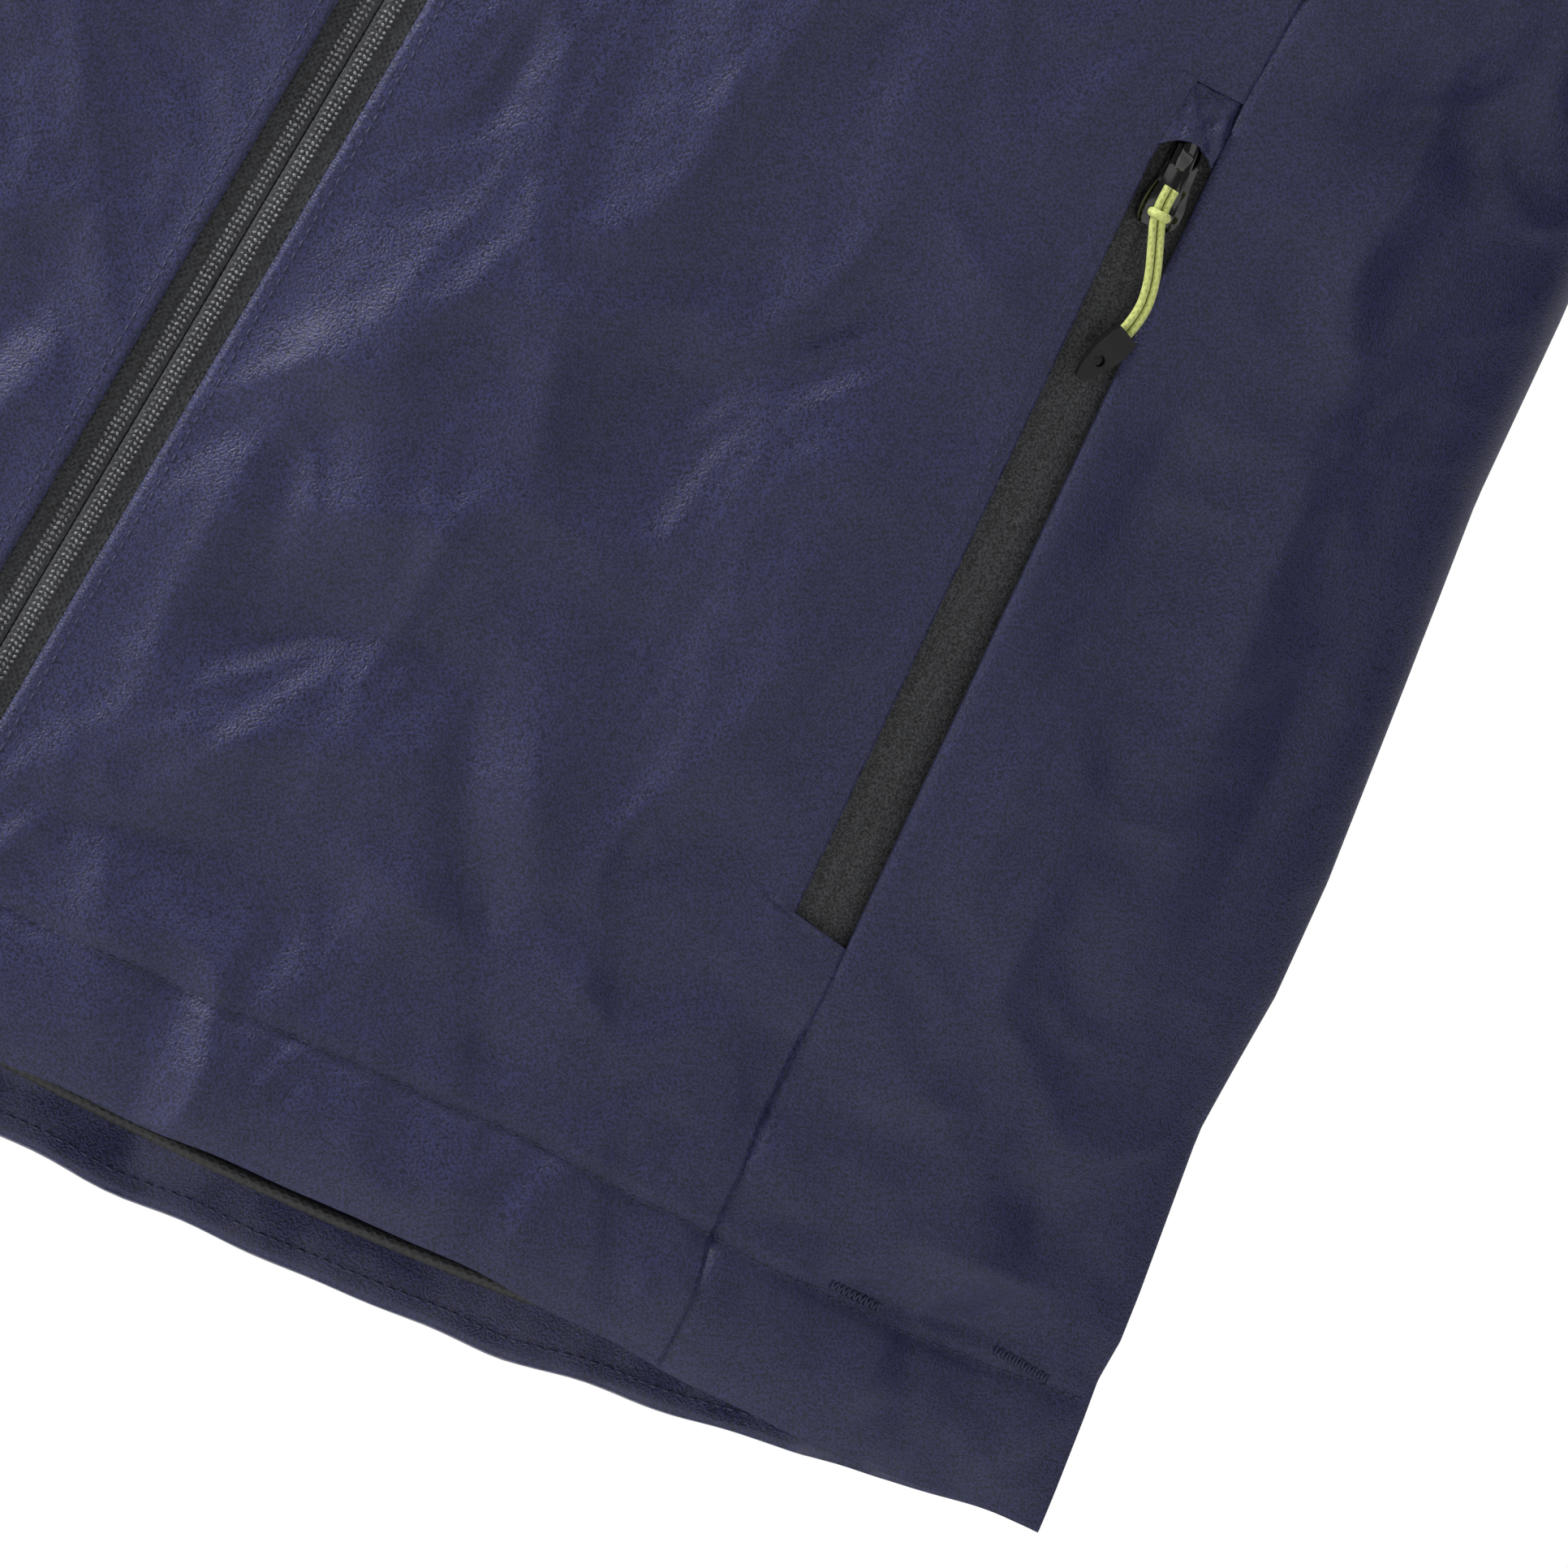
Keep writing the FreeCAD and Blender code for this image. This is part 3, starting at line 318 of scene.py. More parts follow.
for side, label in ((1, "left"), (-1, "right")):
    # The knot: one turn of the cord drawn tight round both strands.
    bpy.ops.object.select_all(action="DESELECT")
    bpy.ops.mesh.primitive_torus_add(major_segments=40, minor_segments=14, major_radius=0.0016,
                                     minor_radius=0.00092)
    knot = bpy.context.object
    knot.name = "pull_knot_" + label
    lean = math.radians(-2)
    knot_down = (pocket_across * math.sin(lean) - pocket_up * math.cos(lean)).normalized()
    knot_side = knot_down.cross(pocket_out).normalized()
    knot_place = POCKET_TOP - pocket_up * 0.0082 - pocket_across * 0.0002 + pocket_out * 0.0016
    mirror = Matrix.Diagonal((side, 1, 1, 1))
    knot.data.transform(mirror @ axes_at(knot_side * 1.02, pocket_out * 0.95, knot_down * 1.05, knot_place))
    mend(knot)
    knot.data.shade_smooth()
    hand_over(knot, cord_thread, "pull_cord", "pocket_pull_" + label)

    # The moulded grip: a barrel that takes the strands, then a flat tongue with an eye.
    mouth = Vector((0.0041, 0.0023, 0.0324))
    tongue = Vector((-0.0014, 0.0023, 0.0442))
    grip_length = 0.013
    bpy.ops.object.select_all(action="DESELECT")
    bpy.ops.mesh.primitive_cube_add(size=1)
    grip = bpy.context.object
    grip.name = "pull_grip_" + label
    start_edit(grip)
    bpy.ops.mesh.select_all(action="SELECT")
    bpy.ops.mesh.subdivide(number_cuts=11)
    bpy.ops.object.mode_set(mode="OBJECT")
    half_widths = ((0.0, 0.0024), (0.12, 0.0029), (0.40, 0.0030), (0.5, 0.0028), (0.85, 0.0019),
                   (1.0, 0.0009))
    half_depths = ((0.0, 0.0015), (0.10, 0.0018), (0.36, 0.0018), (0.46, 0.0012), (1.0, 0.0009))
    for vertex in grip.data.vertices:
        along = vertex.co.z + 0.5
        half_width = np.interp(along, *zip(*half_widths))
        half_depth = np.interp(along, *zip(*half_depths))
        vertex.co.x *= 2 * half_width
        vertex.co.y *= 2 * half_depth
        vertex.co.z = along * grip_length
    bpy.ops.object.select_all(action="DESELECT")
    bpy.ops.mesh.primitive_cylinder_add(vertices=32, radius=0.00125, depth=0.01,
                                        location=(0, 0, 0.60 * grip_length),
                                        rotation=(math.radians(90), 0, 0))
    eye = bpy.context.object
    drill = grip.modifiers.new("eye", "BOOLEAN")
    drill.operation = "DIFFERENCE"
    drill.object = eye
    rounding = grip.modifiers.new("rounding", "BEVEL")
    rounding.width = 0.0003
    rounding.segments = 3
    rounding.limit_method = "ANGLE"
    rounding.angle_limit = math.radians(50)
    apply_all(grip)
    bpy.data.objects.remove(eye)
    grip_down = Vector((tongue - mouth)).normalized()
    grip_axis = (pocket_across * grip_down.x + pocket_out * grip_down.y - pocket_up * grip_down.z)
    grip_side = pocket_out.cross(grip_axis).normalized()
    grip_place = POCKET_TOP + pocket_across * mouth.x + pocket_out * mouth.y - pocket_up * mouth.z
    grip.data.transform(mirror @ axes_at(grip_side, grip_axis.cross(grip_side), grip_axis, grip_place))
    if side < 0:
        grip.data.flip_normals()
    bpy.ops.object.shade_smooth_by_angle(angle=math.radians(35))
    hand_over(grip, matt_plastic, "pull_plastic", "pocket_pull_" + label, "pocket_pull_end_" + label)

    for strand, offset in (("a", -STRAND_OFFSET), ("b", STRAND_OFFSET)):
        line = bpy.data.curves.new("pull_cord_%s_%s" % (strand, label), "CURVE")
        line.dimensions = "3D"
        line.bevel_depth = CORD_RADIUS
        line.bevel_resolution = 5
        line.resolution_u = 24
        line.use_fill_caps = True
        spline = line.splines.new("NURBS")
        spline.points.add(len(pull_route) - 1)
        for index, (across, out, down) in enumerate(pull_route):
            before = pull_route[max(index - 1, 0)]
            after = pull_route[min(index + 1, len(pull_route) - 1)]
            run = math.hypot(after[0] - before[0], after[2] - before[2])
            aside = ((after[2] - before[2]) / run * offset, -(after[0] - before[0]) / run * offset)
            spot = pocket_point(side, across + aside[0], out, down + aside[1])
            spline.points[index].co = (*spot, 1)
        spline.order_u = 3
        spline.use_endpoint_u = True
        cord = bpy.data.objects.new(line.name, line)
        bpy.context.scene.collection.objects.link(cord)
        hand_over(cord, cord_thread, "pull_cord", "pocket_pull_" + label,
                  "pocket_pull_cord_%s_%s" % (strand, label))

# ---------------------------------------------------------------- shell panels
# The shell is a laminated navy nylon, cut as two front panels, two side panels, a back panel and
# a yoke, sewn together along the seams. It stands by itself in soft dents and folds.
MM = 0.001
SEAM_Y = -0.070
PANEL_THICKNESS = 0.0018
ZIP_GAP_HALF = 0.0076
SLOT_HALF = 6.0
SLOT_FOOT = -610.5
SLOT_TOP = -426.8
# level, half width, front depth, back depth, point of the section's curve
torso = np.array((
    (-745, 272, 80, 80, 0.92), (-692, 268, 80, 80, 0.90), (-600, 254.5, 80, 80, 0.76),
    (-500, 243, 80, 82, 0.66), (-420, 231.5, 80, 84, 0.58), (-306, 238, 80, 90, 0.40),
    (-180, 240, 80, 92, 0.34), (-90, 236, 80, 90, 0.34), (-56, 214, 78, 86, 0.38),
    (-30, 155, 68, 84, 0.45), (0, 84, 52, 80, 0.50), (8, 58, 42, 77, 0.50),
))
# the princess seam: distance from the middle, and level
princess = np.array(((185.9, -702.6), (181.3, -673.5), (175.1, -611), (157.3, -426),
                     (156.8, -405), (160, -310), (176, -215), (216, -140)))
ARM_TIP = (205, -54)
ARM_PIT = (238, -306)
YOKE_LEVEL = -180
front_hem = ((0, -720), (41.6, -716.1), (94.3, -710.1), (146.6, -703.6), (185.9, -702.4),
             (220.2, -700.4), (267.3, -692))
back_hem = ((0, -733), (50, -731.6), (103, -726.5), (155, -718.5), (205, -708), (244, -697.5),
            (267.3, -692))


side_waves = ((-692, 0), (-668, -0.4), (-660, -0.7), (-651, 0.5), (-641, 0.4), (-607, -0.9), (-576, 2.2),
              (-551, 2.4), (-500, 0), (-470, -0.8), (-430, 1.0), (-380, 0), (-340, 1.2), (-306, 0))


def torso_measure(level, column):
    """One column of the torso's sizes at any level, eased over the drawn levels."""
    total = 5 * np.interp(level, *zip(*side_waves)) if column == 1 else 0
    for step in (-6, -3, 0, 3, 6):
        total = total + np.interp(level + step * np.interp(level, (-80, -40), (1.5, 0.4)),
                                  torso[:, 0], torso[:, column])
    return total / 5


def torso_point(angle, level, side, inset=0.0):
    """Points in millimetres on the torso's surface: 0 is the middle, 90 degrees the side."""
    depth = torso_measure(level, 2 if side < 0 else 3) - inset
    rise = np.maximum(np.cos(angle), 0) ** (2 * torso_measure(level, 4))
    across = (torso_measure(level, 1) - inset) * np.sin(angle)
    return np.stack((across, SEAM_Y / MM + side * depth * rise, level), axis=-1)


def torso_angle(across, level):
    """The angle of a place that lies this far from the middle."""
    return np.arcsin(np.clip(across / torso_measure(level, 1), -1, 1))


def arm_line(level):
    """How far from the middle the arm's seam is, at a level."""
    return np.interp(level, (ARM_PIT[1], ARM_TIP[1]), (ARM_PIT[0], ARM_TIP[0]))


def pocket_line(level):
    """How far from the middle the pocket zip's centre line is, at a level."""
    return np.interp(level, (-611, -446), (168.7, 152.9))


def torso_normal(angle, level, side):
    """The surface's outward direction."""
    step = 0.02
    around = torso_point(angle + step, level, side) - torso_point(angle - step, level, side)
    upward = torso_point(angle, level + 2, side) - torso_point(angle, level - 2, side)
    normal = np.cross(around, upward) * -side
    return normal / np.maximum(np.linalg.norm(normal, axis=-1, keepdims=True), 1e-9)


def uneven(points, pitch, seed):
    """Smooth noise from -1 to 1 with about this many millimetres from bump to bump."""
    source = np.random.default_rng(100 + seed)
    total = np.zeros(points.shape[:-1])
    for wave in range(14):
        direction = source.normal(size=points.shape[-1])
        direction /= np.linalg.norm(direction)
        size = source.uniform(0.7, 1.9)
        total += np.sin(points @ direction * (2 * math.pi / pitch) * size + source.uniform(0, 6.3)) / size
    return total / 5.5


def stroke(across, level, line, width, height):
    """A crease along a line of points: full in its middle, fading out at its ends."""
    best = np.full(across.shape, 1e9)
    along_all = np.zeros(across.shape)
    lengths = [math.dist(a, b) for a, b in zip(line, line[1:])]
    done = 0
    for (x0, z0), (x1, z1), length in zip(line, line[1:], lengths):
        share = np.clip(((across - x0) * (x1 - x0) + (level - z0) * (z1 - z0)) / length ** 2, 0, 1)
        gap = np.hypot(across - x0 - share * (x1 - x0), level - z0 - share * (z1 - z0))
        closer = gap < best
        best = np.where(closer, gap, best)
        along_all = np.where(closer, (done + share * length) / sum(lengths), along_all)
        done += length
    return height * np.exp(-1.1 * (best / width) ** 1.35) * (0.35 + 0.65 * np.sin(math.pi * along_all))


# Creases of the left front: line, width and height, in millimetres.
left_creases = (
    (((70, -405), (76, -440), (73, -470), (68, -500)), 9, 2.6),
    (((60.8, -527.4), (68, -548), (75, -568)), 9, 2.8),
    (((78, -470), (84, -520), (80, -560)), 13, -1.6),
    (((40, -500), (30, -560), (22, -600)), 20, 3.2),
    (((24, -604), (40, -590), (56, -582), (72, -582), (88, -592)), 11, 2.4),
    (((38, -626), (52, -612), (70, -603), (84, -604)), 13, -3.0),
    (((22, -642), (44, -640), (64, -632), (80, -620)), 12, 2.0),
    (((84, -596), (92, -620), (104, -640), (112, -650)), 8, -2.8),
    (((98, -598), (106, -618), (118, -636)), 9, 1.8),
    (((103.8, -631.3), (114.5, -649.4)), 4.5, -1.8),
    (((119.7, -658), (125.5, -671)), 5, -2.0),
    (((78, -644.8), (100, -648), (123.1, -648)), 7, 1.6),
    (((120.9, -640), (136, -646), (148.5, -652)), 6, 1.8),
    (((128, -620), (140, -640), (150, -668)), 9, -1.5),
    (((110, -480), (100, -540), (104, -590)), 22, -1.8),
    (((134, -470), (128, -540), (136, -600)), 20, 1.6),
    (((187.4, -667.9), (197.2, -662.2)), 4.5, -1.8),
    (((206, -671), (217.9, -668.6), (240.6, -662.7)), 5, -3.2),
    (((214, -655), (230, -652), (246, -650)), 6, 2.2),
    (((234.9, -628), (238.7, -646.9)), 9, -2.4),
    (((171.1, -422.5), (192, -408), (214.4, -396.8)), 9, -3.2),
    (((176, -440), (200, -424), (228, -414)), 10, 2.6),
    (((197.5, -416.3), (219.4, -405.1)), 5, -1.8),
    (((183.6, -430), (196, -452), (206.6, -470)), 11, 2.4),
    (((176, -470), (184, -500), (194, -530), (206, -560)), 12, -2.2),
    (((200, -470), (212, -510), (218, -550)), 11, 2.3),
    (((224, -500), (232, -540), (236, -590)), 11, -2.0),
    (((196, -560), (204, -600), (200, -640)), 12, 1.9),
    (((176, -640), (186, -655), (192, -672)), 7, 1.5),
    (((168, -618), (174, -636), (182.5, -659.6)), 11, -2.6),
    (((96.2, -440), (100, -470), (106, -488.9)), 10, 1.7),
    (((24.8, -668.9), (40, -664), (55.8, -657.9)), 8, -1.9),
    (((20, -690), (50, -686), (90, -682)), 8, 0.9),
    (((251.2, -639.5), (259.5, -643.9)), 5, -1.4),
    (((95, -395), (120, -352), (128, -300)), 17, 3.0),
    (((40, -330), (70, -280), (120, -240)), 20, 2.6),
    (((185, -330), (165, -270), (150, -190)), 16, -3.0),
    (((216, -300), (196, -235), (178, -170)), 15, 3.2),
    (((60, -150), (110, -110), (165, -80)), 16, -2.0),
    (((25, -420), (44, -390), (54, -345)), 12, -1.8),
)
# The wearer's right front hangs the same way, with its own creases.
right_creases = (
    (((68, -440), (74, -540), (68, -660)), 38, 7.0),
    (((58, -470), (76, -520), (84, -575)), 10, 2.2),
    (((30, -590), (42, -640), (36, -690)), 12, -1.8),
    (((92, -600), (118, -640), (126, -682)), 8, -1.7),
    (((120, -560), (140, -600)), 9, 1.6),
    (((186, -640), (210, -656), (244, -652)), 7, -2.2),
    (((168, -430), (205, -402)), 8, -2.2),
    (((190, -470), (214, -520), (222, -570)), 10, 1.9),
    (((80, -400), (112, -350), (120, -300)), 17, 2.8),
    (((30, -300), (70, -262), (124, -226)), 20, 2.4),
    (((190, -330), (168, -268), (156, -190)), 16, -3.0),
    (((218, -296), (198, -236), (180, -172)), 15, 3.2),
    (((70, -150), (120, -104), (168, -78)), 15, -2.0),
    (((24, -480), (36, -450), (34, -400)), 12, 1.6),
    (((60, -664), (104, -676)), 6, -1.3),
)
back_creases = (
    (((-90, -300), (-30, -330), (60, -345)), 20, -2.6),
    (((100, -330), (60, -390), (20, -470)), 20, 2.6),
    (((-150, -260), (-120, -330), (-100, -420)), 18, 2.6),
    (((160, -250), (130, -330), (112, -430)), 18, -2.8),
    (((-60, -480), (-52, -560), (-66, -640)), 16, 2.4),
    (((90, -500), (100, -590), (92, -680)), 15, -2.2),
    (((10, -560), (20, -620), (8, -690)), 14, -1.8),
    (((-180, -520), (-200, -600), (-206, -660)), 14, 2.2),
    (((190, -540), (206, -610)), 14, 2.0),
    (((-120, -590), (-132, -650), (-124, -700)), 10, -1.8),
    (((-40, -250), (30, -230), (110, -238)), 16, 1.8),
)


def hem_line(table, across):
    """A hem edge's level, as a smooth line through the measured places."""
    total = 0
    for step in (-10, -5, 0, 5, 10):
        total = total + np.interp(np.abs(across) + step, *zip(*table))
    wave = 0.35 if table is front_hem else 0.55
    ends = np.clip((268 - np.abs(across)) / 30, 0, 1)
    ripple = np.sin(across / 9.0) * np.sin(across / 23.0 + 1.0) + 0.5 * np.sin(across / 4.7 + 2.0)
    return total / 5 + wave * ends * ripple


def fold_height(across, level, side, wearer):
    """How far the fabric stands out from the smooth shape, in millimetres."""
    flat = np.stack((across, level * 0.62), axis=-1)
    height = 1.2 * uneven(flat, 95, 3 + wearer + 5 * side) + 0.45 * uneven(flat, 34, 17 + wearer)
    height = height + 0.16 * uneven(np.stack((across, level), axis=-1), 11, 29 + wearer + side)
    # Sharp creases run where two smooth waves cancel.
    bent = flat + 9 * np.stack((uneven(flat, 60, 71), uneven(flat, 52, 73)), axis=-1)
    height = height + 1.2 - 3.1 * np.abs(uneven(bent, 64, 75 + side))
    height = height + 0.3 - 1.0 * np.abs(uneven(bent, 27, 77 + wearer))
    if side > 0:
        creases = back_creases
    else:
        creases = left_creases if wearer > 0 else right_creases
    for line, width, tall in creases:
        height = height + 1.35 * stroke(across if side > 0 else np.abs(across), level, line, width, tall)
    # The hem's channel is puffed by the elastic, with short puckers across it.
    edge = hem_line(back_hem if side > 0 else front_hem, across)
    rise = level - edge
    pucker = np.sin(np.abs(across) / 2.3 + 2.2 * uneven(flat, 40, 41)) + uneven(flat, 13, 43)
    gather = np.interp(np.abs(across), (150, 215, 262), (0.12, 0.6, 0.7))
    channel = np.exp(-((rise - 14) / 9) ** 2)
    height = height + channel * (1.7 + 0.45 * gather * pucker)
    height = height - 1.3 * np.exp(-((rise - 28) / 1.7) ** 2)
    height = height - 1.1 * np.exp(-(rise / 3.0) ** 2)
    lean = np.abs(across) * 0.9 + (rise - 28) * 0.45
    drag = uneven(np.stack((lean, rise * 0.12), axis=-1), 15, 53)
    reach = np.exp(-((rise - 33) / 13) ** 2) + 0.5 * np.exp(-((rise - 18) / 9) ** 2)
    height = height + np.interp(np.abs(across), (20, 120, 190, 262), (0.35, 0.6, 1.25, 1.5)) * drag * reach
    if side < 0:
        # The princess seam is drawn in, with puckers that lean away from it.
        seam = np.interp(level, princess[:, 1], princess[:, 0])
        away = np.abs(across) - seam
        height = height - 0.28 * np.exp(-(away / 0.9) ** 2) + 0.22 * np.exp(-((away - 3.0) / 2.2) ** 2)
        ripple = np.sin(level / 3.1 + 2.5 * uneven(flat, 30, 47)) * np.exp(-(away / 8) ** 2)
        height = height + 0.20 * ripple
        # Behind each zip the fabric is held flat.
        calm = np.clip((np.abs(across) - 7) / 16, 0.12, 1)
        aside = np.abs(np.abs(across) - pocket_line(level))
        beyond = np.maximum(np.maximum(level + 427, -611 - level), 0)
        pocket_gap = np.hypot(aside, beyond)
        calm = calm * np.clip((pocket_gap - 8) / 14, 0.05, 1)
        edge_bump = 0.35 * np.exp(-((pocket_gap - 9.2) / 1.6) ** 2)
        height = height * calm + edge_bump
        height = height + 0.25 * np.exp(-((np.abs(across) - 9.5) / 1.3) ** 2)
    # Seams at the side and at the arms stay where they are.
    quiet_side = np.clip((torso_measure(level, 1) - np.abs(across)) / 14, 0, 1)
    to_arm = np.clip((arm_line(level) - np.abs(across)) / 16, 0, 1)
    quiet_arm = np.where(level > ARM_PIT[1] - 20, to_arm, 1)
    return height * quiet_side * quiet_arm


def new_grid(name, columns, rows, front):
    """A flat grid of quads whose upper face looks forward or back, and its u and v."""
    bpy.ops.object.select_all(action="DESELECT")
    bpy.ops.mesh.primitive_grid_add(x_subdivisions=columns, y_subdivisions=rows, size=1)
    grid = bpy.context.object
    grid.name = name
    spots = np.empty(len(grid.data.vertices) * 3)
    grid.data.vertices.foreach_get("co", spots)
    spots = spots.reshape(-1, 3)
    across = spots[:, 0] + 0.5
    return grid, (across if front else 1 - across), spots[:, 1] + 0.5


def set_points(piece, points):
    """Moves every vertex to its place, given in millimetres."""
    piece.data.vertices.foreach_set("co", (points * MM).ravel())
    piece.data.update()


def thicken(piece, thickness, offset=-1.0):
    """Gives a sheet its wall, on its inner side."""
    wall = piece.modifiers.new("wall", "SOLIDIFY")
    wall.thickness = thickness
    wall.offset = offset
    wall.use_even_offset = False
    apply_all(piece)
    piece.data.shade_smooth()


def neck_share(level, side):
    """Where the collar's foot crosses the torso at each level, as a share of its half width."""
    shares = np.linspace(0, 1, 300)[:, None]
    grid = np.broadcast_to(np.asarray(level, float), (300, len(level)))
    spots = torso_point(np.broadcast_to(np.arcsin(shares), grid.shape), grid, side, 1.5)
    outside = (spots[..., 0] / 82) ** 2 + ((spots[..., 1] + 67.5) / 82.5) ** 2 >= 1
    outside |= spots[..., 2] < -77 + (spots[..., 1] + 150) * 73 / 165
    inside_count = np.where(outside.all(axis=0), 0,
                            300 - np.argmax(~outside[::-1], axis=0))
    return np.minimum(inside_count, 299) / 299


def outer_share(level):
    """The panel's outer edge: the side seam, the arm's seam or the shoulder."""
    share = np.minimum(arm_line(level) / torso_measure(level, 1), 1)
    return np.where((level > ARM_PIT[1]) & (level < ARM_TIP[1]), share, 1)


def place_panel(piece, u, v, inner, outer, levels, side, wearer, hem=None, slot=None):
    """Lays a panel on the torso between two edges and adds its folds."""
    level = np.interp(v, np.linspace(0, 1, len(levels)), levels)
    angle = inner(level) + u * (outer(level) - inner(level))
    if hem is not None:
        across = torso_measure(level, 1) * np.sin(angle)
        drop = hem_line(hem, across) - levels[0]
        moved = level + drop * np.clip(1 - (level - levels[0]) / 90, 0, 1) ** 1.5
        angle = inner(moved) + u * (outer(moved) - inner(moved))
        if slot is not None:
            angle = angle + np.clip((u - 0.8) / 0.2, 0, 1) * (slot(level) - outer(level))
        level = moved
    spots = torso_point(angle, level, side)
    height = fold_height(spots[:, 0], level, side, wearer)
    points = spots + torso_normal(angle, level, side) * height[:, None]
    points[:, 0] *= wearer
    set_points(piece, points)
    return points


def row_levels(*stretches):
    """Levels of a panel's rows, from stretches of start, end and spacing."""
    levels = []
    for start, end, spacing in stretches:
        levels += list(np.arange(start, end, spacing))
    return np.array(levels + [stretches[-1][1]], float)


shell_cloth = woven("shell_cloth", (0.0020, 0.0028, 0.0170), (0.0275, 0.0312, 0.1150), 0.42, 420, 2000,
                    0.80, 0.00016)
shell_shader = shell_cloth.node_tree.nodes["Principled BSDF"]
shell_shader.inputs["Sheen Weight"].default_value = 0.10
shell_shader.inputs["Sheen Roughness"].default_value = 0.35
shell_shader.inputs["Sheen Tint"].default_value = (0.75, 0.78, 1.0, 1)

for wearer, label in ((1, "left"), (-1, "right")):
    # Front panel, from the zip to the princess seam and up to the shoulder.
    levels = row_levels((-712, SLOT_FOOT, 1.5), (SLOT_FOOT + 0.1, SLOT_TOP, 1.5),
                        (SLOT_TOP + 0.1, -360, 1.5), (-360, -60, 3.5), (-60, 1.0, 2.2))

    def zip_edge(level):
        gap = ZIP_GAP_HALF / MM / torso_measure(level, 1)
        return np.arcsin(np.clip(np.maximum(gap, neck_share(level, -1)), 0, 1))

    def princess_edge(level):
        seam = np.interp(level, princess[:, 1], princess[:, 0]) / torso_measure(level, 1)
        return np.arcsin(np.minimum(np.where(level > princess[-1, 1], outer_share(level), seam), 1))

    def pocket_edge(level):
        line = pocket_line(level) - SLOT_HALF
        by_slot = (level > SLOT_FOOT + 0.05) & (level < SLOT_TOP + 0.05)
        share = np.clip(line / torso_measure(level, 1), 0, 1)
        return np.where(by_slot, np.arcsin(share), princess_edge(level))

    panel, u, v = new_grid("front_panel_%s_cloth" % label, 116, len(levels) - 1, wearer > 0)
    place_panel(panel, u, v, zip_edge, princess_edge, levels, -1, wearer, front_hem, pocket_edge)
    thicken(panel, PANEL_THICKNESS)
    hand_over(panel, shell_cloth, "shell_fabric", "jacket_body", "front_panel_" + label)

    # Side panel, from the princess seam round to the side.
    levels = row_levels((-702, -380, 1.5), (-380, -140, 3.5))
    panel, u, v = new_grid("side_panel_%s_cloth" % label, 58, len(levels) - 1, wearer > 0)
    place_panel(panel, u, v, princess_edge, lambda level: np.arcsin(outer_share(level)), levels, -1,
                wearer, front_hem)
    thicken(panel, PANEL_THICKNESS)
    hand_over(panel, shell_cloth, "shell_fabric", "jacket_body", "side_panel_" + label)

# Back panel, in one piece from side to side, with its dropped tail.
levels = row_levels((-733, -690, 1.6), (-690, YOKE_LEVEL, 4.2))
panel, u, v = new_grid("back_panel_cloth", 200, len(levels) - 1, False)
place_panel(panel, u, v, lambda level: -np.arcsin(outer_share(level)),
            lambda level: np.arcsin(outer_share(level)), levels, 1, 1, back_hem)
thicken(panel, PANEL_THICKNESS)
hand_over(panel, shell_cloth, "shell_fabric", "jacket_body", "back_panel")

# Yoke over the shoulders, made as one half and mirrored.
levels = row_levels((YOKE_LEVEL, -60, 3.5), (-60, 1.0, 2.2))
panel, u, v = new_grid("back_yoke_cloth", 100, len(levels) - 1, False)
place_panel(panel, u, v, lambda level: np.arcsin(neck_share(level, 1)),
            lambda level: np.arcsin(outer_share(level)), levels, 1, 1)
half = panel.modifiers.new("other_half", "MIRROR")
half.use_clip = True
half.merge_threshold = 0.0002
apply_all(panel)
start_edit(panel)
bpy.ops.mesh.select_all(action="SELECT")
bpy.ops.mesh.remove_doubles(threshold=0.00005)
bpy.ops.object.mode_set(mode="OBJECT")
thicken(panel, PANEL_THICKNESS)
hand_over(panel, shell_cloth, "shell_fabric", "jacket_body", "back_yoke")

# ---------------------------------------------------------------- seams and topstitching
# The seams are lockstitched in navy thread, a little lighter than the fabric. Each stitch is a
# short raised bead with its ends sunk, so one bead is modelled and laid along every line.
FACING_HEIGHT = 28.0
thread = woven("thread", (0.004, 0.005, 0.018), (0.040, 0.046, 0.110), 0.5, 900, 2400, 0.3, 0.00006)
bpy.ops.object.select_all(action="DESELECT")
bpy.ops.mesh.primitive_uv_sphere_add(segments=6, ring_count=4, radius=1)
bead = bpy.context.object


def fabric_place(across, level, side, wearer=1, lift=0.0):
    """A point on the folded front or back, in millimetres, with its outward direction."""
    angle = torso_angle(across, level)
    normal = torso_normal(angle, level, side)
    height = fold_height(across, level, side, wearer) + lift
    flip = np.array((wearer, 1, 1))
    return (torso_point(angle, level, side) + normal * height[..., None]) * flip, normal * flip


def stitch_frames(points, normals, pitch=2.9, length=2.0, width=0.30, height=0.16):
    """A matrix in metres for each stitch, at an even pitch along a line of points."""
    points = np.asarray(points, float)
    run = np.concatenate(([0], np.cumsum(np.linalg.norm(np.diff(points, axis=0), axis=1))))
    marks = np.arange(pitch / 2, run[-1], pitch)

    def along_line(values, places):
        return np.stack([np.interp(places, run, values[:, axis]) for axis in range(3)], axis=1)

    spots = along_line(points, marks)
    directions = along_line(points, marks + pitch / 4) - along_line(points, marks - pitch / 4)
    frames = []
    for spot, direction, up in zip(spots, directions, along_line(np.asarray(normals), marks)):
        along = Vector(direction).normalized()
        up = Vector(up)
        up = (up - along * up.dot(along)).normalized()
        side = up.cross(along)
        frames.append(axes_at(along * length / 2 * MM, side * width * MM, up * height * MM,
                              Vector(spot) * MM))
    return frames


def stitches(name, frames, body="jacket_body"):
    """Lays a bead of thread at every frame, as one piece."""
    line = place_copy(bead, name, frames)
    hand_over(line, thread, "thread", body)
    return line


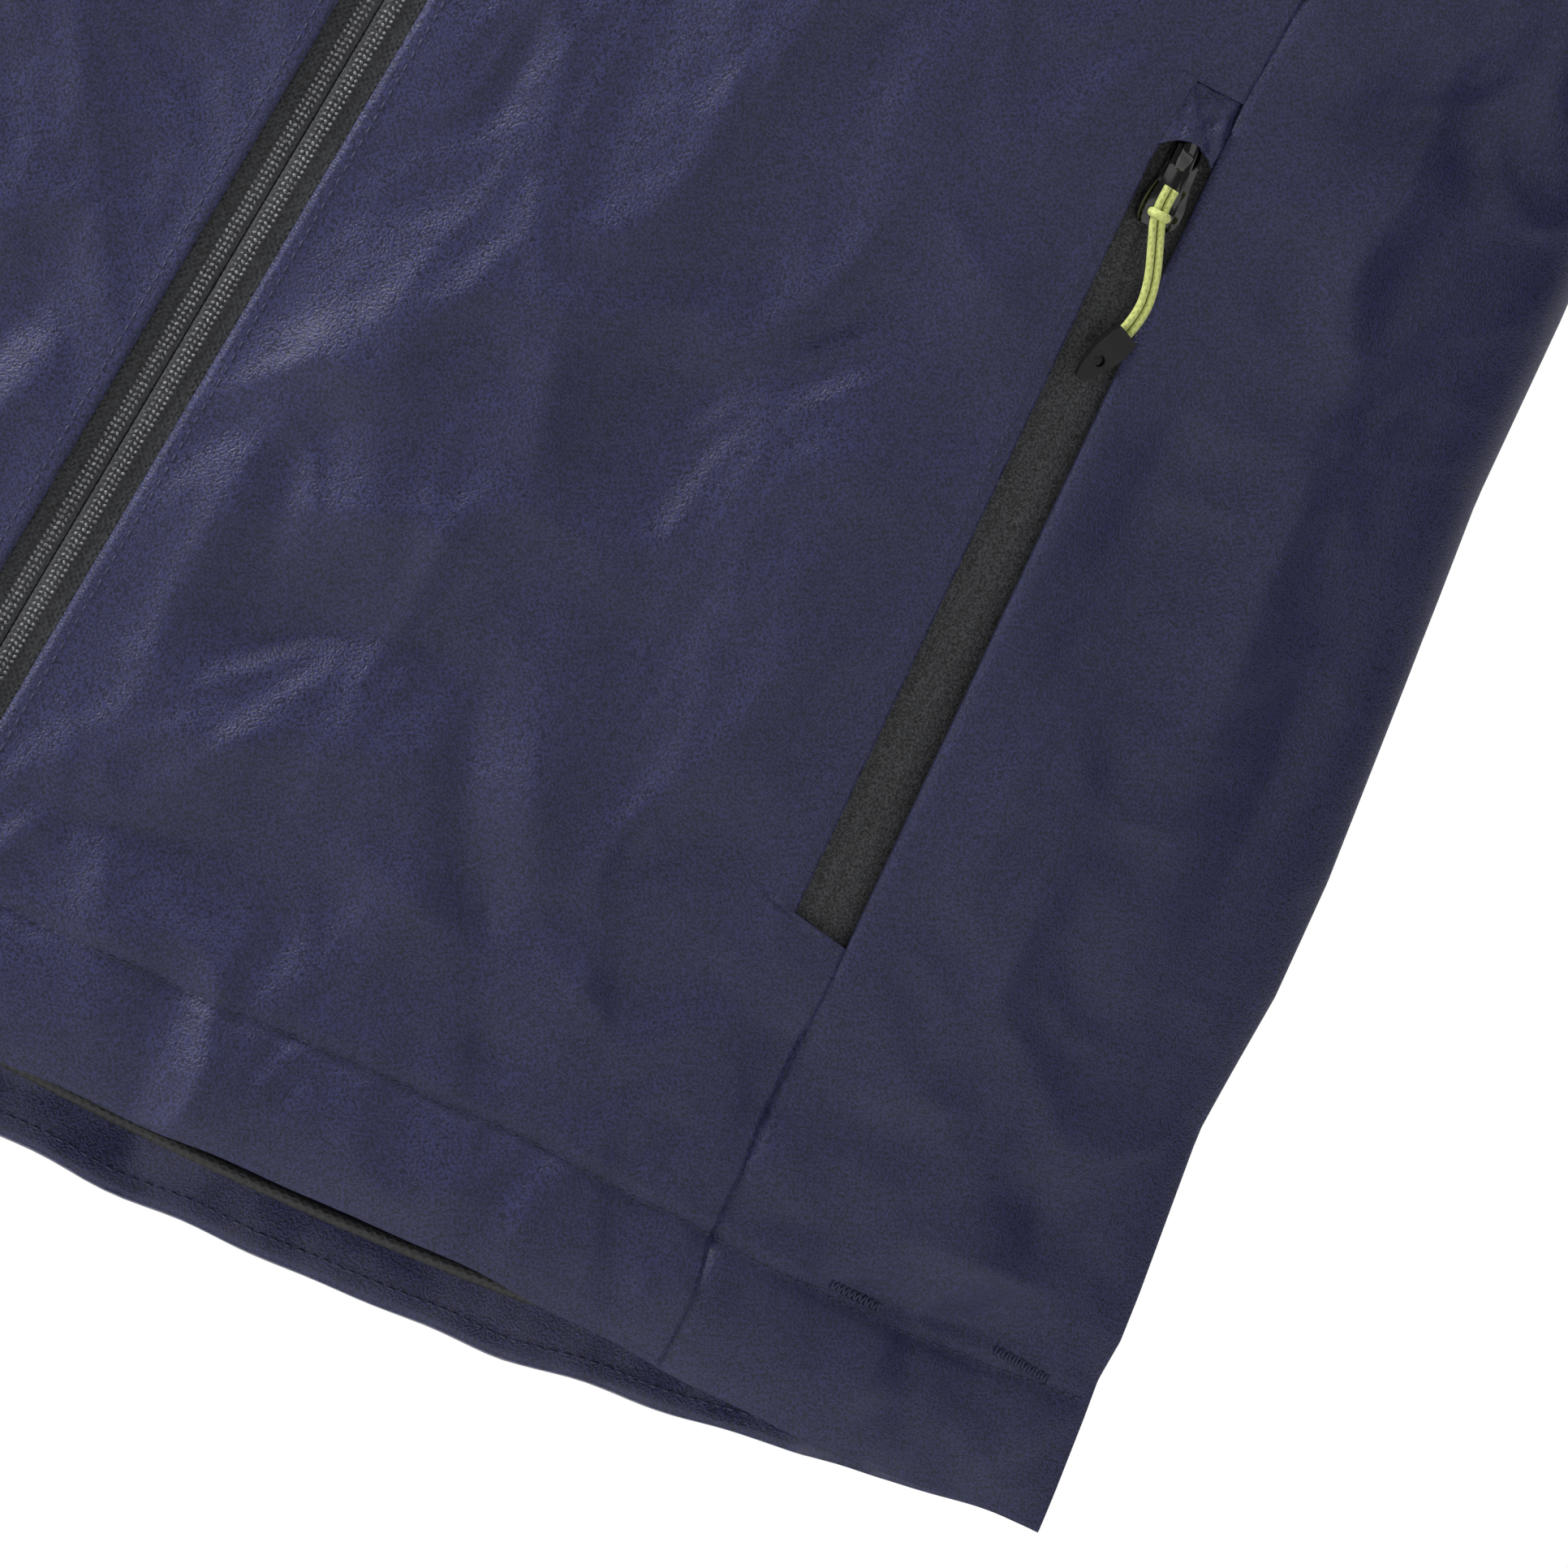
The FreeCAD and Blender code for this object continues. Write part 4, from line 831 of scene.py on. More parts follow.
for wearer, label in ((1, "left"), (-1, "right")):
    frames = []
    # Along the front zip, the pocket zip's inner side and ends, and the hem.
    levels = np.arange(-716, -92, 3.0)
    frames += stitch_frames(*fabric_place(np.full(len(levels), 10.6), levels, -1, wearer, 0.05))
    levels = levels[(levels > -613) & (levels < -424)]
    frames += stitch_frames(*fabric_place(pocket_line(levels) - 9.0, levels, -1, wearer, 0.05))
    for start, end, level, middle in ((160.5, 174.5, -613.6, 168.7), (142.4, 157.0, -423.8, 151)):
        across = np.linspace(start, end, 9)
        line = fabric_place(across, level + 0.1 * (across - middle), -1, wearer, 0.05)
        frames += stitch_frames(*line, pitch=2.2, length=1.6)
    across = np.arange(9, 263, 2.0)
    level = hem_line(front_hem, across) + FACING_HEIGHT
    frames += stitch_frames(*fabric_place(across, level, -1, wearer, 0.2))
    stitches("front_stitching_" + label, frames)
across = np.arange(-262, 263, 2.0)
frames = stitch_frames(*fabric_place(across, hem_line(back_hem, across) + FACING_HEIGHT, 1, 1, 0.2))
across = np.arange(-212, 213, 4.0)
frames += stitch_frames(*fabric_place(across, np.full(len(across), YOKE_LEVEL + 4.0), 1, 1, 0.05))
stitches("back_stitching", frames)

# ---------------------------------------------------------------- hem channel
# The hem is turned up and closed by a facing of the same fabric, stitched 28 mm above the edge.
# The elastic cord runs in the channel, and bar tacks hold its ends at the sides.
for label, wearer, table, side, start in (
        ("front_left", 1, front_hem, -1, 8), ("front_right", -1, front_hem, -1, 8),
        ("back", 1, back_hem, 1, -266)):
    places = np.arange(start, 267, 1.9)
    facing, u, v = new_grid("hem_facing_" + label, len(places), 18, (side > 0) == (wearer > 0))
    across = places[0] + u * (places[-1] - places[0])
    level = hem_line(table, across) + 0.4 + v * (FACING_HEIGHT + 1.5)
    ripple = uneven(np.stack((across, level * 0.4), axis=-1), 22, 61)
    inner = 1.9 + 3.6 * np.sin(math.pi * v) ** 0.7 + 0.7 * ripple * np.sin(math.pi * v)
    angle = torso_angle(across, level)
    points = torso_point(angle, level, side)
    height = fold_height(across, level, side, wearer) - inner
    points = points + torso_normal(angle, level, side) * height[:, None]
    points[:, 0] *= wearer
    set_points(facing, points)
    thicken(facing, 0.0006)
    facing.data.materials.append(shell_cloth)
    if side > 0:
        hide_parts("hem_facing")
    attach(facing, "jacket_body")

across = np.arange(-250, 251, 2.0)
level = hem_line(back_hem, across) + 4.6
inside, outward = fabric_place(across, level, 1, 1, -4.6)
stitches("facing_stitching", stitch_frames(inside, -outward))

# Two bar tacks at each end of the elastic, each of seventeen close slanted stitches.
frames = []
for wearer in (1, -1):
    for middle, level, slope in ((213, -670, 0.06), (248.5, -665, 0.0)):
        steps = np.linspace(-5.2, 5.2, 17)
        places, normals = fabric_place(middle + steps, level + steps * slope, -1, wearer, 0.35)
        for index, (place, normal) in enumerate(zip(places, normals)):
            up = Vector(normal)
            along = Vector((wearer * (0.35 if index % 2 else -0.2), 0, 1))
            along = (along - up * along.dot(up)).normalized()
            frames.append(axes_at(along * 1.25 * MM, up.cross(along) * 0.36 * MM, up * 0.34 * MM,
                                  Vector(place) * MM))
tacks = stitches("hem_bar_tacks_thread", frames)
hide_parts("hem_bar_tacks")

# ---------------------------------------------------------------- zips
# Both kinds of zip are black: woven polyester tape with a coil of nylon sewn along its edge. The
# coil is on the inside, so its stitching shows as three rows of small knots beside the join.
zip_black = woven("zip_black", (0.0015, 0.0015, 0.002), (0.046, 0.048, 0.053), 0.55, 420, 1500, 0.6,
                  0.00022)
knot_thread = woven("knot_thread", (0.020, 0.020, 0.023), (0.280, 0.285, 0.305), 0.5, 700, 1500, 0.7,
                    0.0001)
coil_black, coil_shader = new_material("coil_black", (0.012, 0.012, 0.013), 0.38)
metal_black, metal_shader = new_material("metal_black", (0.006, 0.006, 0.007), 0.16)
metal_shader.inputs["Coat Weight"].default_value = 0.6
metal_shader.inputs["Coat Roughness"].default_value = 0.08
for material, shader, scale, deep in ((coil_black, coil_shader, 1800.0, 0.00004),
                                      (metal_black, metal_shader, 700.0, 0.00002)):
    spot_node = add_node(material.node_tree, "TexCoord")
    cloud = add_node(material.node_tree, "TexNoise", (), {"Scale": scale, "Detail": 3.0},
                     Vector=spot_node.outputs["Object"])
    base = shader.inputs["Roughness"].default_value
    dull = add_node(material.node_tree, "MapRange", (), {"To Min": base - 0.05, "To Max": base + 0.1},
                    Value=cloud.outputs["Fac"])
    rough_bump = add_node(material.node_tree, "Bump", (), {"Strength": 0.3, "Distance": deep},
                          Height=cloud.outputs["Fac"])
    material.node_tree.links.new(dull.outputs["Result"], shader.inputs["Roughness"])
    material.node_tree.links.new(rough_bump.outputs["Normal"], shader.inputs["Normal"])

ZIP_FOOT = -712.0
ZIP_TOP = 69.0
ZIP_FRONT = -150.0
TAPE_DEPTH = ZIP_FRONT + 2.4


def dress(material, *names):
    """Gives CAD pieces that stay in view a material of this scene."""
    for name in names:
        bpy.data.objects[name].data.materials.clear()
        bpy.data.objects[name].data.materials.append(material)


for wearer, label in ((1, "left"), (-1, "right")):
    rows = int((ZIP_TOP - ZIP_FOOT) / 1.55)
    tape, u, v = new_grid("main_zip_tape_%s_cloth" % label, 16, rows, True)
    level = ZIP_FOOT + v * (ZIP_TOP - ZIP_FOOT)
    across = (0.12 + u * 14.0) if wearer > 0 else (-14.12 + u * 14.0)
    off = np.abs(across)
    # A rolled edge at the join, the raised coil under it and the flat tape beyond.
    shape = 0.55 * np.exp(-((off - 0.5) / 0.45) ** 2) + 0.62 * np.exp(-((off - 2.6) / 1.5) ** 2)
    rib = 0.06 * np.sin(level * 2 * math.pi / 0.8) * np.clip((off - 4.2) / 0.6, 0, 1)
    depth = TAPE_DEPTH - shape - rib
    depth -= 0.25 * uneven(np.stack((level, off * 0.2), axis=-1), 60, 71)
    set_points(tape, np.stack((across, depth, level), axis=-1))
    thicken(tape, 0.0007)
    hand_over(tape, zip_black, "zip_tape", "jacket_body", "main_zip_tape_" + label)

    # Knots of the coil's stitching, in three leaning rows, one of each for a turn of the coil.
    pitch = 1.24
    frames = []
    chance = np.random.default_rng(7 + wearer)
    for index in range(int((ZIP_TOP - ZIP_FOOT) / pitch)):
        level = ZIP_FOOT + pitch * (index + 0.5)
        for off, lean, long, wide in ((1.5, 0.55, 0.52, 0.34), (2.5, -0.6, 0.56, 0.36),
                                      (3.5, 0.6, 0.52, 0.34)):
            wobble = chance.uniform(-0.12, 0.12)
            angle = lean * wearer + chance.uniform(-0.2, 0.2)
            crown = 0.62 * math.exp(-((off - 2.6) / 1.5) ** 2)
            place = Vector((wearer * (off + wobble * 0.5), TAPE_DEPTH - crown - 0.1, level + wobble))
            frames.append(axes_at(Vector((math.cos(angle), 0, math.sin(angle))) * long * MM,
                                  Vector((0, 0.36, 0)) * MM,
                                  Vector((-math.sin(angle), 0, math.cos(angle))) * wide * MM, place * MM))
    knots = place_copy(bead, "main_zip_knots_" + label, frames)
    hand_over(knots, knot_thread, "zip_coil", "jacket_body")

dress(coil_black, "main_zip_coil_left", "main_zip_coil_right", "pocket_zip_coil_left",
      "pocket_zip_coil_right", "main_zip_box", "main_zip_pin")
dress(metal_black, "main_zip_top_stops", "main_slider", "main_pull_tab")

# ---------------------------------------------------------------- pocket zips
# Each pocket zip lies in a slot of the front panel, along the princess seam. Its tape is woven
# in a small herringbone, and a fabric garage covers the slider when the pocket is shut.
pocket_tape = woven("pocket_tape", (0.0008, 0.0008, 0.0012), (0.070, 0.072, 0.078), 0.6, 420, 2100, 0.85,
                    0.0003, 0.15)
slider_gloss, slider_shader = new_material("slider_gloss", (0.002, 0.002, 0.0025), 0.12)
slider_shader.inputs["Specular IOR Level"].default_value = 0.3
slider_shader.inputs["Coat Weight"].default_value = 1.0
slider_shader.inputs["Coat Roughness"].default_value = 0.05
haze_spot = add_node(slider_gloss.node_tree, "TexCoord")
haze = add_node(slider_gloss.node_tree, "TexNoise", (), {"Scale": 500.0, "Detail": 2.0},
                Vector=haze_spot.outputs["Object"])
haze_range = add_node(slider_gloss.node_tree, "MapRange", (), {"To Min": 0.05, "To Max": 0.13},
                      Value=haze.outputs["Fac"])
slider_gloss.node_tree.links.new(haze_range.outputs["Result"], slider_shader.inputs["Roughness"])
SLOT_LENGTH = (POCKET_TOP - POCKET_FOOT).length


def pocket_matrix(side):
    """The pocket zip's own axes: X across, Y out of the fabric and Z up the zip."""
    frame = axes_at(pocket_across, pocket_out, pocket_up, POCKET_TOP)
    return Matrix.Diagonal((side, 1, 1, 1)) @ frame


def place_by_pocket(piece, side, across, out, down):
    """Moves a sheet's points to their places by the pocket's zip, facing out."""
    frame = np.array(pocket_matrix(side))
    points = np.stack((across, out, -down), axis=-1)
    set_points(piece, points @ frame[:3, :3].T + frame[:3, 3] / MM)


for side, label in ((1, "left"), (-1, "right")):
    rows = int((SLOT_LENGTH / MM + 30) / 0.8)
    tape, u, v = new_grid("pocket_zip_tape_%s_cloth" % label, 30, rows, True)
    down = -20 + v * (SLOT_LENGTH / MM + 30)
    across = -9.5 + u * 19.0
    off = np.abs(across)
    teeth = 0.55 * np.exp(-((off - 2.1) / 1.5) ** 2) - 0.25 * np.exp(-(off / 0.35) ** 2)
    herringbone = 0.09 * np.sin((down + off * 0.9) * 2 * math.pi / 1.55)
    bulge = teeth + herringbone + 0.12 * uneven(np.stack((across, down), axis=-1), 2.2, 83)
    place_by_pocket(tape, side, across, -2.6 + bulge, down)
    mend(tape)
    if tape.data.polygons[0].normal.y > 0:
        tape.data.flip_normals()
    thicken(tape, 0.0007)
    hand_over(tape, pocket_tape, "zip_tape", "jacket_body", "pocket_zip_tape_" + label)

    # The slider: a low body with flared flanks, and a half-round bridge for the pull.
    bpy.ops.object.select_all(action="DESELECT")
    bpy.ops.mesh.primitive_cube_add(size=1)
    slider = bpy.context.object
    slider.name = "pocket_slider_%s_cast" % label
    start_edit(slider)
    bpy.ops.mesh.select_all(action="SELECT")
    bpy.ops.mesh.subdivide(number_cuts=13)
    bpy.ops.object.mode_set(mode="OBJECT")
    for vertex in slider.data.vertices:
        along = vertex.co.z + 0.5
        half = np.interp(along, (0, 0.06, 0.16, 0.3, 0.55, 1), (3.2, 4.1, 4.6, 4.5, 3.5, 3.1))
        crown = 1 - 0.55 * (2 * vertex.co.x) ** 2
        lip = 0.75 * max(0, (abs(2 * vertex.co.x) - 0.7) / 0.3)
        thick = np.interp(along, (0, 0.1, 0.8, 1), (0.7, 1.5, 1.5, 1.0))
        vertex.co.x *= 2 * half
        vertex.co.y = (-1.4 + (vertex.co.y + 0.5) * thick * 1.4 * (crown + lip)
                       if vertex.co.y > -0.49 else -1.4)
        vertex.co.z = -11.0 + along * 18.0
    slider.data.transform(Matrix.Scale(MM, 4))
    rounding = slider.modifiers.new("rounding", "BEVEL")
    rounding.width = 0.00035
    rounding.segments = 3
    rounding.limit_method = "ANGLE"
    rounding.angle_limit = math.radians(45)
    apply_all(slider)
    bpy.ops.object.select_all(action="DESELECT")
    bpy.ops.mesh.primitive_torus_add(major_segments=48, minor_segments=16, major_radius=0.0033,
                                     minor_radius=0.00115, rotation=(0, math.radians(90), 0))
    bridge = bpy.context.object
    bpy.ops.object.transform_apply(location=True, rotation=True, scale=True)
    for vertex in bridge.data.vertices:
        vertex.co.x *= 1.45
        vertex.co.y = vertex.co.y * 0.62 - 0.0008
        vertex.co.z += 0.0052
    bpy.ops.object.select_all(action="DESELECT")
    slider.select_set(True)
    bridge.select_set(True)
    bpy.context.view_layer.objects.active = slider
    bpy.ops.object.join()
    slider.data.transform(pocket_matrix(side))
    if side < 0:
        slider.data.flip_normals()
    bpy.ops.object.shade_smooth_by_angle(angle=math.radians(40))
    hand_over(slider, slider_gloss, "slider_metal", "pocket_slider_" + label, "pocket_slider_" + label)

    # The garage: a folded tab of shell fabric over the top of the slot.
    garage, u, v = new_grid("pocket_garage_%s_cloth" % label, 26, 26, True)
    across = -6.6 + u * 13.2
    top = -21.4
    foot = -7.6 + 3.4 * (across / 6.6) ** 2
    down = top + v * (foot - top)
    rise = 1.9 * (1 - (across / 6.6) ** 4) * np.clip(v * 1.5 - 0.4, 0, 1) + 0.75 * uneven(
        np.stack((across, down), axis=-1), 6.5, 89)
    lift = -0.5 + rise - 1.8 * np.clip((-19.0 - down) / 1.6, 0, 1)
    place_by_pocket(garage, side, across, lift, down)
    if garage.data.polygons[0].normal.y > 0:
        garage.data.flip_normals()
    thicken(garage, 0.0009)
    hand_over(garage, shell_cloth, "shell_fabric", "jacket_body", "pocket_garage_" + label)

# ---------------------------------------------------------------- sleeves
# Each sleeve is set into the armhole and hangs at the side: an upper sleeve of shell fabric, a
# reinforced forearm, and a cuff with a rubbery seal inside and a hook-and-loop tab in front.
SLEEVE_LEAN = math.radians(22)
sleeve_down = np.array((math.sin(SLEEVE_LEAN), 0, -math.cos(SLEEVE_LEAN)))
sleeve_out = np.array((math.cos(SLEEVE_LEAN), 0, math.sin(SLEEVE_LEAN)))
# inner x and z, outer x and z, half depth and centre y of each ring, from shoulder to cuff
head_rings = (
    (238.5, -306, 205.5, -54, 47, -68), (240.5, -318, 290, -118, 54, -68), (244, -335, 350, -205, 59, -68),
    (250, -362, 389, -305.8, 60, -68),
)
arm_rings = ((364.45, -72, -445.16, 69, 56), (431.88, -88, -612.06, 58, 45), (446.12, -92, -647.29, 53, 39))
heavy_cloth = woven("heavy_cloth", (0.009, 0.010, 0.017), (0.032, 0.035, 0.052), 0.6, 220, 1100, 0.45,
                    0.00025, 0.1)
seal_rubber = woven("seal_rubber", (0.014, 0.014, 0.016), (0.024, 0.024, 0.028), 0.5, 200, 900, 0.8, 0.0001)


def ring_row(index):
    """Centre, outward half axis and depth of one sleeve ring."""
    if index < len(head_rings):
        inner_x, inner_z, outer_x, outer_z, depth, middle = head_rings[index]
        inner = np.array((inner_x, middle, inner_z))
        outer = np.array((outer_x, middle, outer_z))
        return (inner + outer) / 2, (outer - inner) / 2, depth
    x, y, z, half_width, depth = arm_rings[index - len(head_rings)]
    return np.array((x, y, z)), sleeve_out * half_width, depth


ring_rows = [ring_row(index) for index in range(len(head_rings) + len(arm_rings))]
ring_marks = np.concatenate(([0], np.cumsum([
    np.linalg.norm(after[0] - before[0]) for before, after in zip(ring_rows, ring_rows[1:])])))


def eased(mark, marks, values, ease=16.0):
    """Values between the rings, with the corner at each ring rounded off."""
    values = np.asarray(values, float)
    total = 0
    for step in (-1, -0.5, 0, 0.5, 1):
        place = np.clip(mark + step * ease, marks[0], marks[-1])
        total = total + np.stack([np.interp(place, marks, values[:, axis])
                                  for axis in range(values.shape[1])], axis=-1)
    return total / 5


def sleeve_surface(angle, mark, inset=0.0):
    """A point on the sleeve: angle 0 faces inwards to the body and 90 degrees forwards."""
    near = np.clip(1 - mark / 14.0, 0, 1)[..., None]
    centre = eased(mark, ring_marks, [row[0] for row in ring_rows])
    reach = eased(mark, ring_marks, [row[1] for row in ring_rows])
    depth = eased(mark, ring_marks, [[row[2]] for row in ring_rows])[..., 0]
    # The armhole's own ring is the edge of the torso's panels.
    along = -np.cos(angle)
    edge_level = (ARM_PIT[1] + ARM_TIP[1]) / 2 + along * (ARM_TIP[1] - ARM_PIT[1]) / 2
    edge_x = arm_line(edge_level)
    share = np.minimum(edge_x / torso_measure(edge_level, 1), 1)
    front = np.sin(angle) > 0
    rise = np.maximum(1 - share ** 2, 0) ** torso_measure(edge_level, 4)
    edge_depth = np.where(front, -torso_measure(edge_level, 2), torso_measure(edge_level, 3)) * rise
    edge = np.stack((edge_x, SEAM_Y / MM + edge_depth, edge_level), axis=-1)
    length = np.linalg.norm(reach, axis=-1)
    shrink = ((length - inset) / length)[..., None]
    ring = centre + reach * shrink * along[..., None]
    ring[..., 1] -= (depth - inset) * np.sin(angle)
    blend_in = near ** 2 * (3 - 2 * near)
    return ring * (1 - blend_in) + edge * blend_in


def sleeve_fold(angle, mark, wearer):
    """Creases of a hanging sleeve: drag lines at the head, rings at the elbow and the cuff."""
    spot = np.stack((np.cos(angle) * 62, np.sin(angle) * 62, mark), axis=-1)
    height = 2.4 * uneven(spot, 120, 201 + wearer) + 0.9 * uneven(spot, 48, 211 + wearer)
    bend = mark + 22 * np.cos(angle) + 10 * uneven(spot, 70, 221 + wearer)
    inner = 0.5 + 0.5 * np.cos(angle)
    for place, tall, width in ((150, 2.6, 9), (182, 2.2, 8), (248, 3.0, 10), (282, 3.6, 9),
                               (318, 3.2, 9), (356, 2.2, 9), (452, 1.4, 7), (474, 1.7, 6)):
        height = height + tall * (0.3 + 0.9 * inner) * np.exp(-((bend - place) / width) ** 2)
    ends = np.clip(mark / 26, 0, 1)
    return (height - 1.6) * ends


def face_away(piece, centre):
    """Turns a sheet's faces to look away from a point, in metres."""
    if sum((face.center - centre).dot(face.normal) for face in piece.data.polygons) < 0:
        piece.data.flip_normals()


def build_sleeve_piece(name, wearer, low, high, columns, rows, inset, thickness, material, node,
                       calm=1.0):
    """One length of sleeve between two marks, as a closed ring of quads with its wall."""
    piece, u, v = new_grid(name, columns, rows, True)
    angle = u * 2 * math.pi
    mark = low + v * (high - low)
    base = sleeve_surface(angle, mark, inset)
    around = sleeve_surface(angle + 0.03, mark, inset) - sleeve_surface(angle - 0.03, mark, inset)
    onward = sleeve_surface(angle, mark + 2, inset) - sleeve_surface(angle, mark - 2, inset)
    normal = np.cross(onward, around)
    normal /= np.maximum(np.linalg.norm(normal, axis=-1, keepdims=True), 1e-9)
    middle = eased(mark, ring_marks, [row[0] for row in ring_rows])
    facing_out = np.sign(np.sum(normal * (base - middle), axis=-1, keepdims=True))
    normal *= np.where(facing_out == 0, 1, facing_out)
    points = base + normal * (sleeve_fold(angle, mark, wearer) * calm)[:, None]
    points[:, 0] *= wearer
    set_points(piece, points)
    mend(piece, 0.00004)
    face_away(piece, Vector(middle[len(middle) // 2] * np.array((wearer, 1, 1)) * MM))
    thicken(piece, thickness)
    piece.data.materials.append(material)
    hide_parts(node)
    return piece


elbow_mark = ring_marks[4]
wrist_mark = ring_marks[5]
cuff_mark = ring_marks[6]
cuff_grip = woven("cuff_grip", (0.010, 0.010, 0.013), (0.030, 0.031, 0.038), 0.7, 260, 1300, 0.35, 0.0003)
for wearer, label in ((1, "left"), (-1, "right")):
    upper = build_sleeve_piece("sleeve_upper_%s_cloth" % label, wearer, 0.0, elbow_mark, 150, 150,
                               0.0, 0.0018, shell_cloth, "sleeve_upper_" + label)
    start = Vector((wearer * 0.2215, -0.068, -0.180))
    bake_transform(upper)
    lower = build_sleeve_piece("sleeve_lower_%s_cloth" % label, wearer, elbow_mark + 0.3,
                               wrist_mark, 150, 110, -0.5, 0.0019, heavy_cloth,
                               "sleeve_lower_" + label)
    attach(lower, "sleeve_" + label)
    cuff = build_sleeve_piece("cuff_%s_cloth" % label, wearer, wrist_mark + 0.3, cuff_mark, 150, 26,
                              -0.3, 0.0024, heavy_cloth, "cuff_" + label,
                              calm=0.25)
    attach(cuff, "sleeve_" + label)
    seal = build_sleeve_piece("cuff_seal_%s_ring" % label, wearer, wrist_mark + 3, cuff_mark - 2,
                              120, 16, 6.6, 0.0012, seal_rubber, "cuff_seal_" + label,
                              calm=0.1)
    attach(seal, "sleeve_" + label)

    # The cuff's tab: a stiff strap with rounded ends, on the front of the cuff.
    tab, u, v = new_grid("cuff_tab_%s_strap" % label, 44, 18, True)
    angle = math.radians(90) + (u - 0.5) * math.radians(100)
    corner = np.clip((np.abs(u - 0.5) - 0.42) / 0.08, 0, 1)
    half_height = 12.6 * (1 - 0.35 * corner ** 2)
    mark = (wrist_mark + cuff_mark) / 2 + (v - 0.5) * 2 * half_height
    points = sleeve_surface(angle, mark, -3.2)
    points[:, 0] *= wearer
    set_points(tab, points)
    if sum(face.normal.y for face in tab.data.polygons) > 0:
        tab.data.flip_normals()
    thicken(tab, 0.002)
    hand_over(tab, cuff_grip, "reinforced_fabric", "cuff_tab_" + label, "cuff_tab_" + label)

    # Seam stitching of the forearm and the cuff, doubled.
    turns = np.linspace(0, 2 * math.pi, 150)
    frames = []
    for mark, inset in ((elbow_mark + 3.0, -0.9), (elbow_mark + 5.6, -0.9), (wrist_mark - 3.0, -0.9),
                        (cuff_mark - 4.0, -0.9)):
        marks = np.full(len(turns), mark)
        base = sleeve_surface(turns, marks, inset)
        middle = eased(marks, ring_marks, [row[0] for row in ring_rows])
        outward = base - middle
        outward /= np.linalg.norm(outward, axis=1, keepdims=True)
        calm = 0.25 if mark > wrist_mark else 1.0
        base = base + outward * (sleeve_fold(turns, marks, wearer) * calm)[:, None]
        flip = np.array((wearer, 1, 1))
        frames += stitch_frames(base * flip, outward * flip)
    stitches("sleeve_stitching_" + label, frames, "sleeve_" + label)

# ---------------------------------------------------------------- collar and its lining
# The collar stands 76 mm above the neck seam. It is shell fabric outside and fleece inside, and
# a strap sewn over the nape makes the hanging loop.
COLLAR_TOP = 76.0


def collar_ring(level, inset):
    """Centre and half axes of the collar at a level."""
    share = (level + 90) / 166
    return -67.5 - 5.5 * share, 82 - 5 * share - inset, 82.5 - 5.5 * share - inset


def neck_seam_level(depth):
    """Level of the sloping neck seam over a depth from front to back."""
    return -77 + (depth + 150) * 73 / 165


def collar_level(angle, share, low_lift, top, inset):
    """Levels at a share of the way from the neck seam to the top."""
    level = np.full(len(angle), -40.0)
    for _ in range(6):
        middle, _, half_depth = collar_ring(level, inset)
        foot = neck_seam_level(middle - half_depth * np.cos(angle)) + low_lift
        level = foot + share * (top - foot)
    return level


def collar_points(angle, level, inset, rough, tucked=0.0):
    """Points round the collar with its swells, calm beside the zip and tucked in at its top."""
    middle, half_width, half_depth = collar_ring(level, inset)
    spot = np.stack((np.sin(angle) * 80, np.cos(angle) * 80, level), axis=-1)
    calm = np.clip((np.abs(half_width * np.sin(angle)) - 6) / 16, 0.1, 1)
    calm = np.where(np.cos(angle) > 0, calm, 1)
    swell = calm * (0.9 * uneven(spot, 75, 301) + rough * uneven(spot, 11, 302)) - tucked
    return np.stack(((half_width + swell) * np.sin(angle), middle - (half_depth + swell) * np.cos(angle),
                     level), axis=-1)


def wrap_collar(name, low_lift, top, inset, columns, rows, gap, rough):
    """A standing band round the neck, open at the zip."""
    band, u, v = new_grid(name, columns, rows, True)
    gap_angle = math.asin(gap / 80)
    angle = gap_angle + u * (2 * math.pi - 2 * gap_angle)
    level = collar_level(angle, v, low_lift, top, inset)
    set_points(band, collar_points(angle, level, inset, rough, 0.8 * np.exp(-((top - level) / 1.6) ** 2)))
    if sum((face.center.x * face.normal.x) for face in band.data.polygons) < 0:
        band.data.flip_normals()
    return band


fleece = woven("fleece", (0.020, 0.023, 0.045), (0.050, 0.055, 0.098), 0.9, 300, 620, 0.95, 0.0012, 0.6)
collar = wrap_collar("collar_cloth", 0.0, COLLAR_TOP, 0.0, 250, 90, 7.6, 0.05)
thicken(collar, 0.0021)
hand_over(collar, shell_cloth, "shell_fabric", "jacket_body", "collar")
collar_fleece = wrap_collar("collar_fleece", 3.0, COLLAR_TOP - 3.0, 2.8, 230, 70, 17.5, 0.5)
thicken(collar_fleece, 0.0026)
hand_over(collar_fleece, fleece, "fleece", "jacket_body", "collar_lining")
STITCH_PROUD = 0.4
turns = np.linspace(math.asin(9 / 80), 2 * math.pi - math.asin(9 / 80), 300)
outward = np.stack((np.sin(turns), -np.cos(turns), np.zeros(len(turns))), axis=-1)
frames = []
for level in (collar_level(turns, 0.0, 4.0, COLLAR_TOP, -STITCH_PROUD),
              np.full(len(turns), COLLAR_TOP - 4.0)):
    frames += stitch_frames(collar_points(turns, level, -STITCH_PROUD, 0.05), outward)
stitches("collar_stitching", frames)

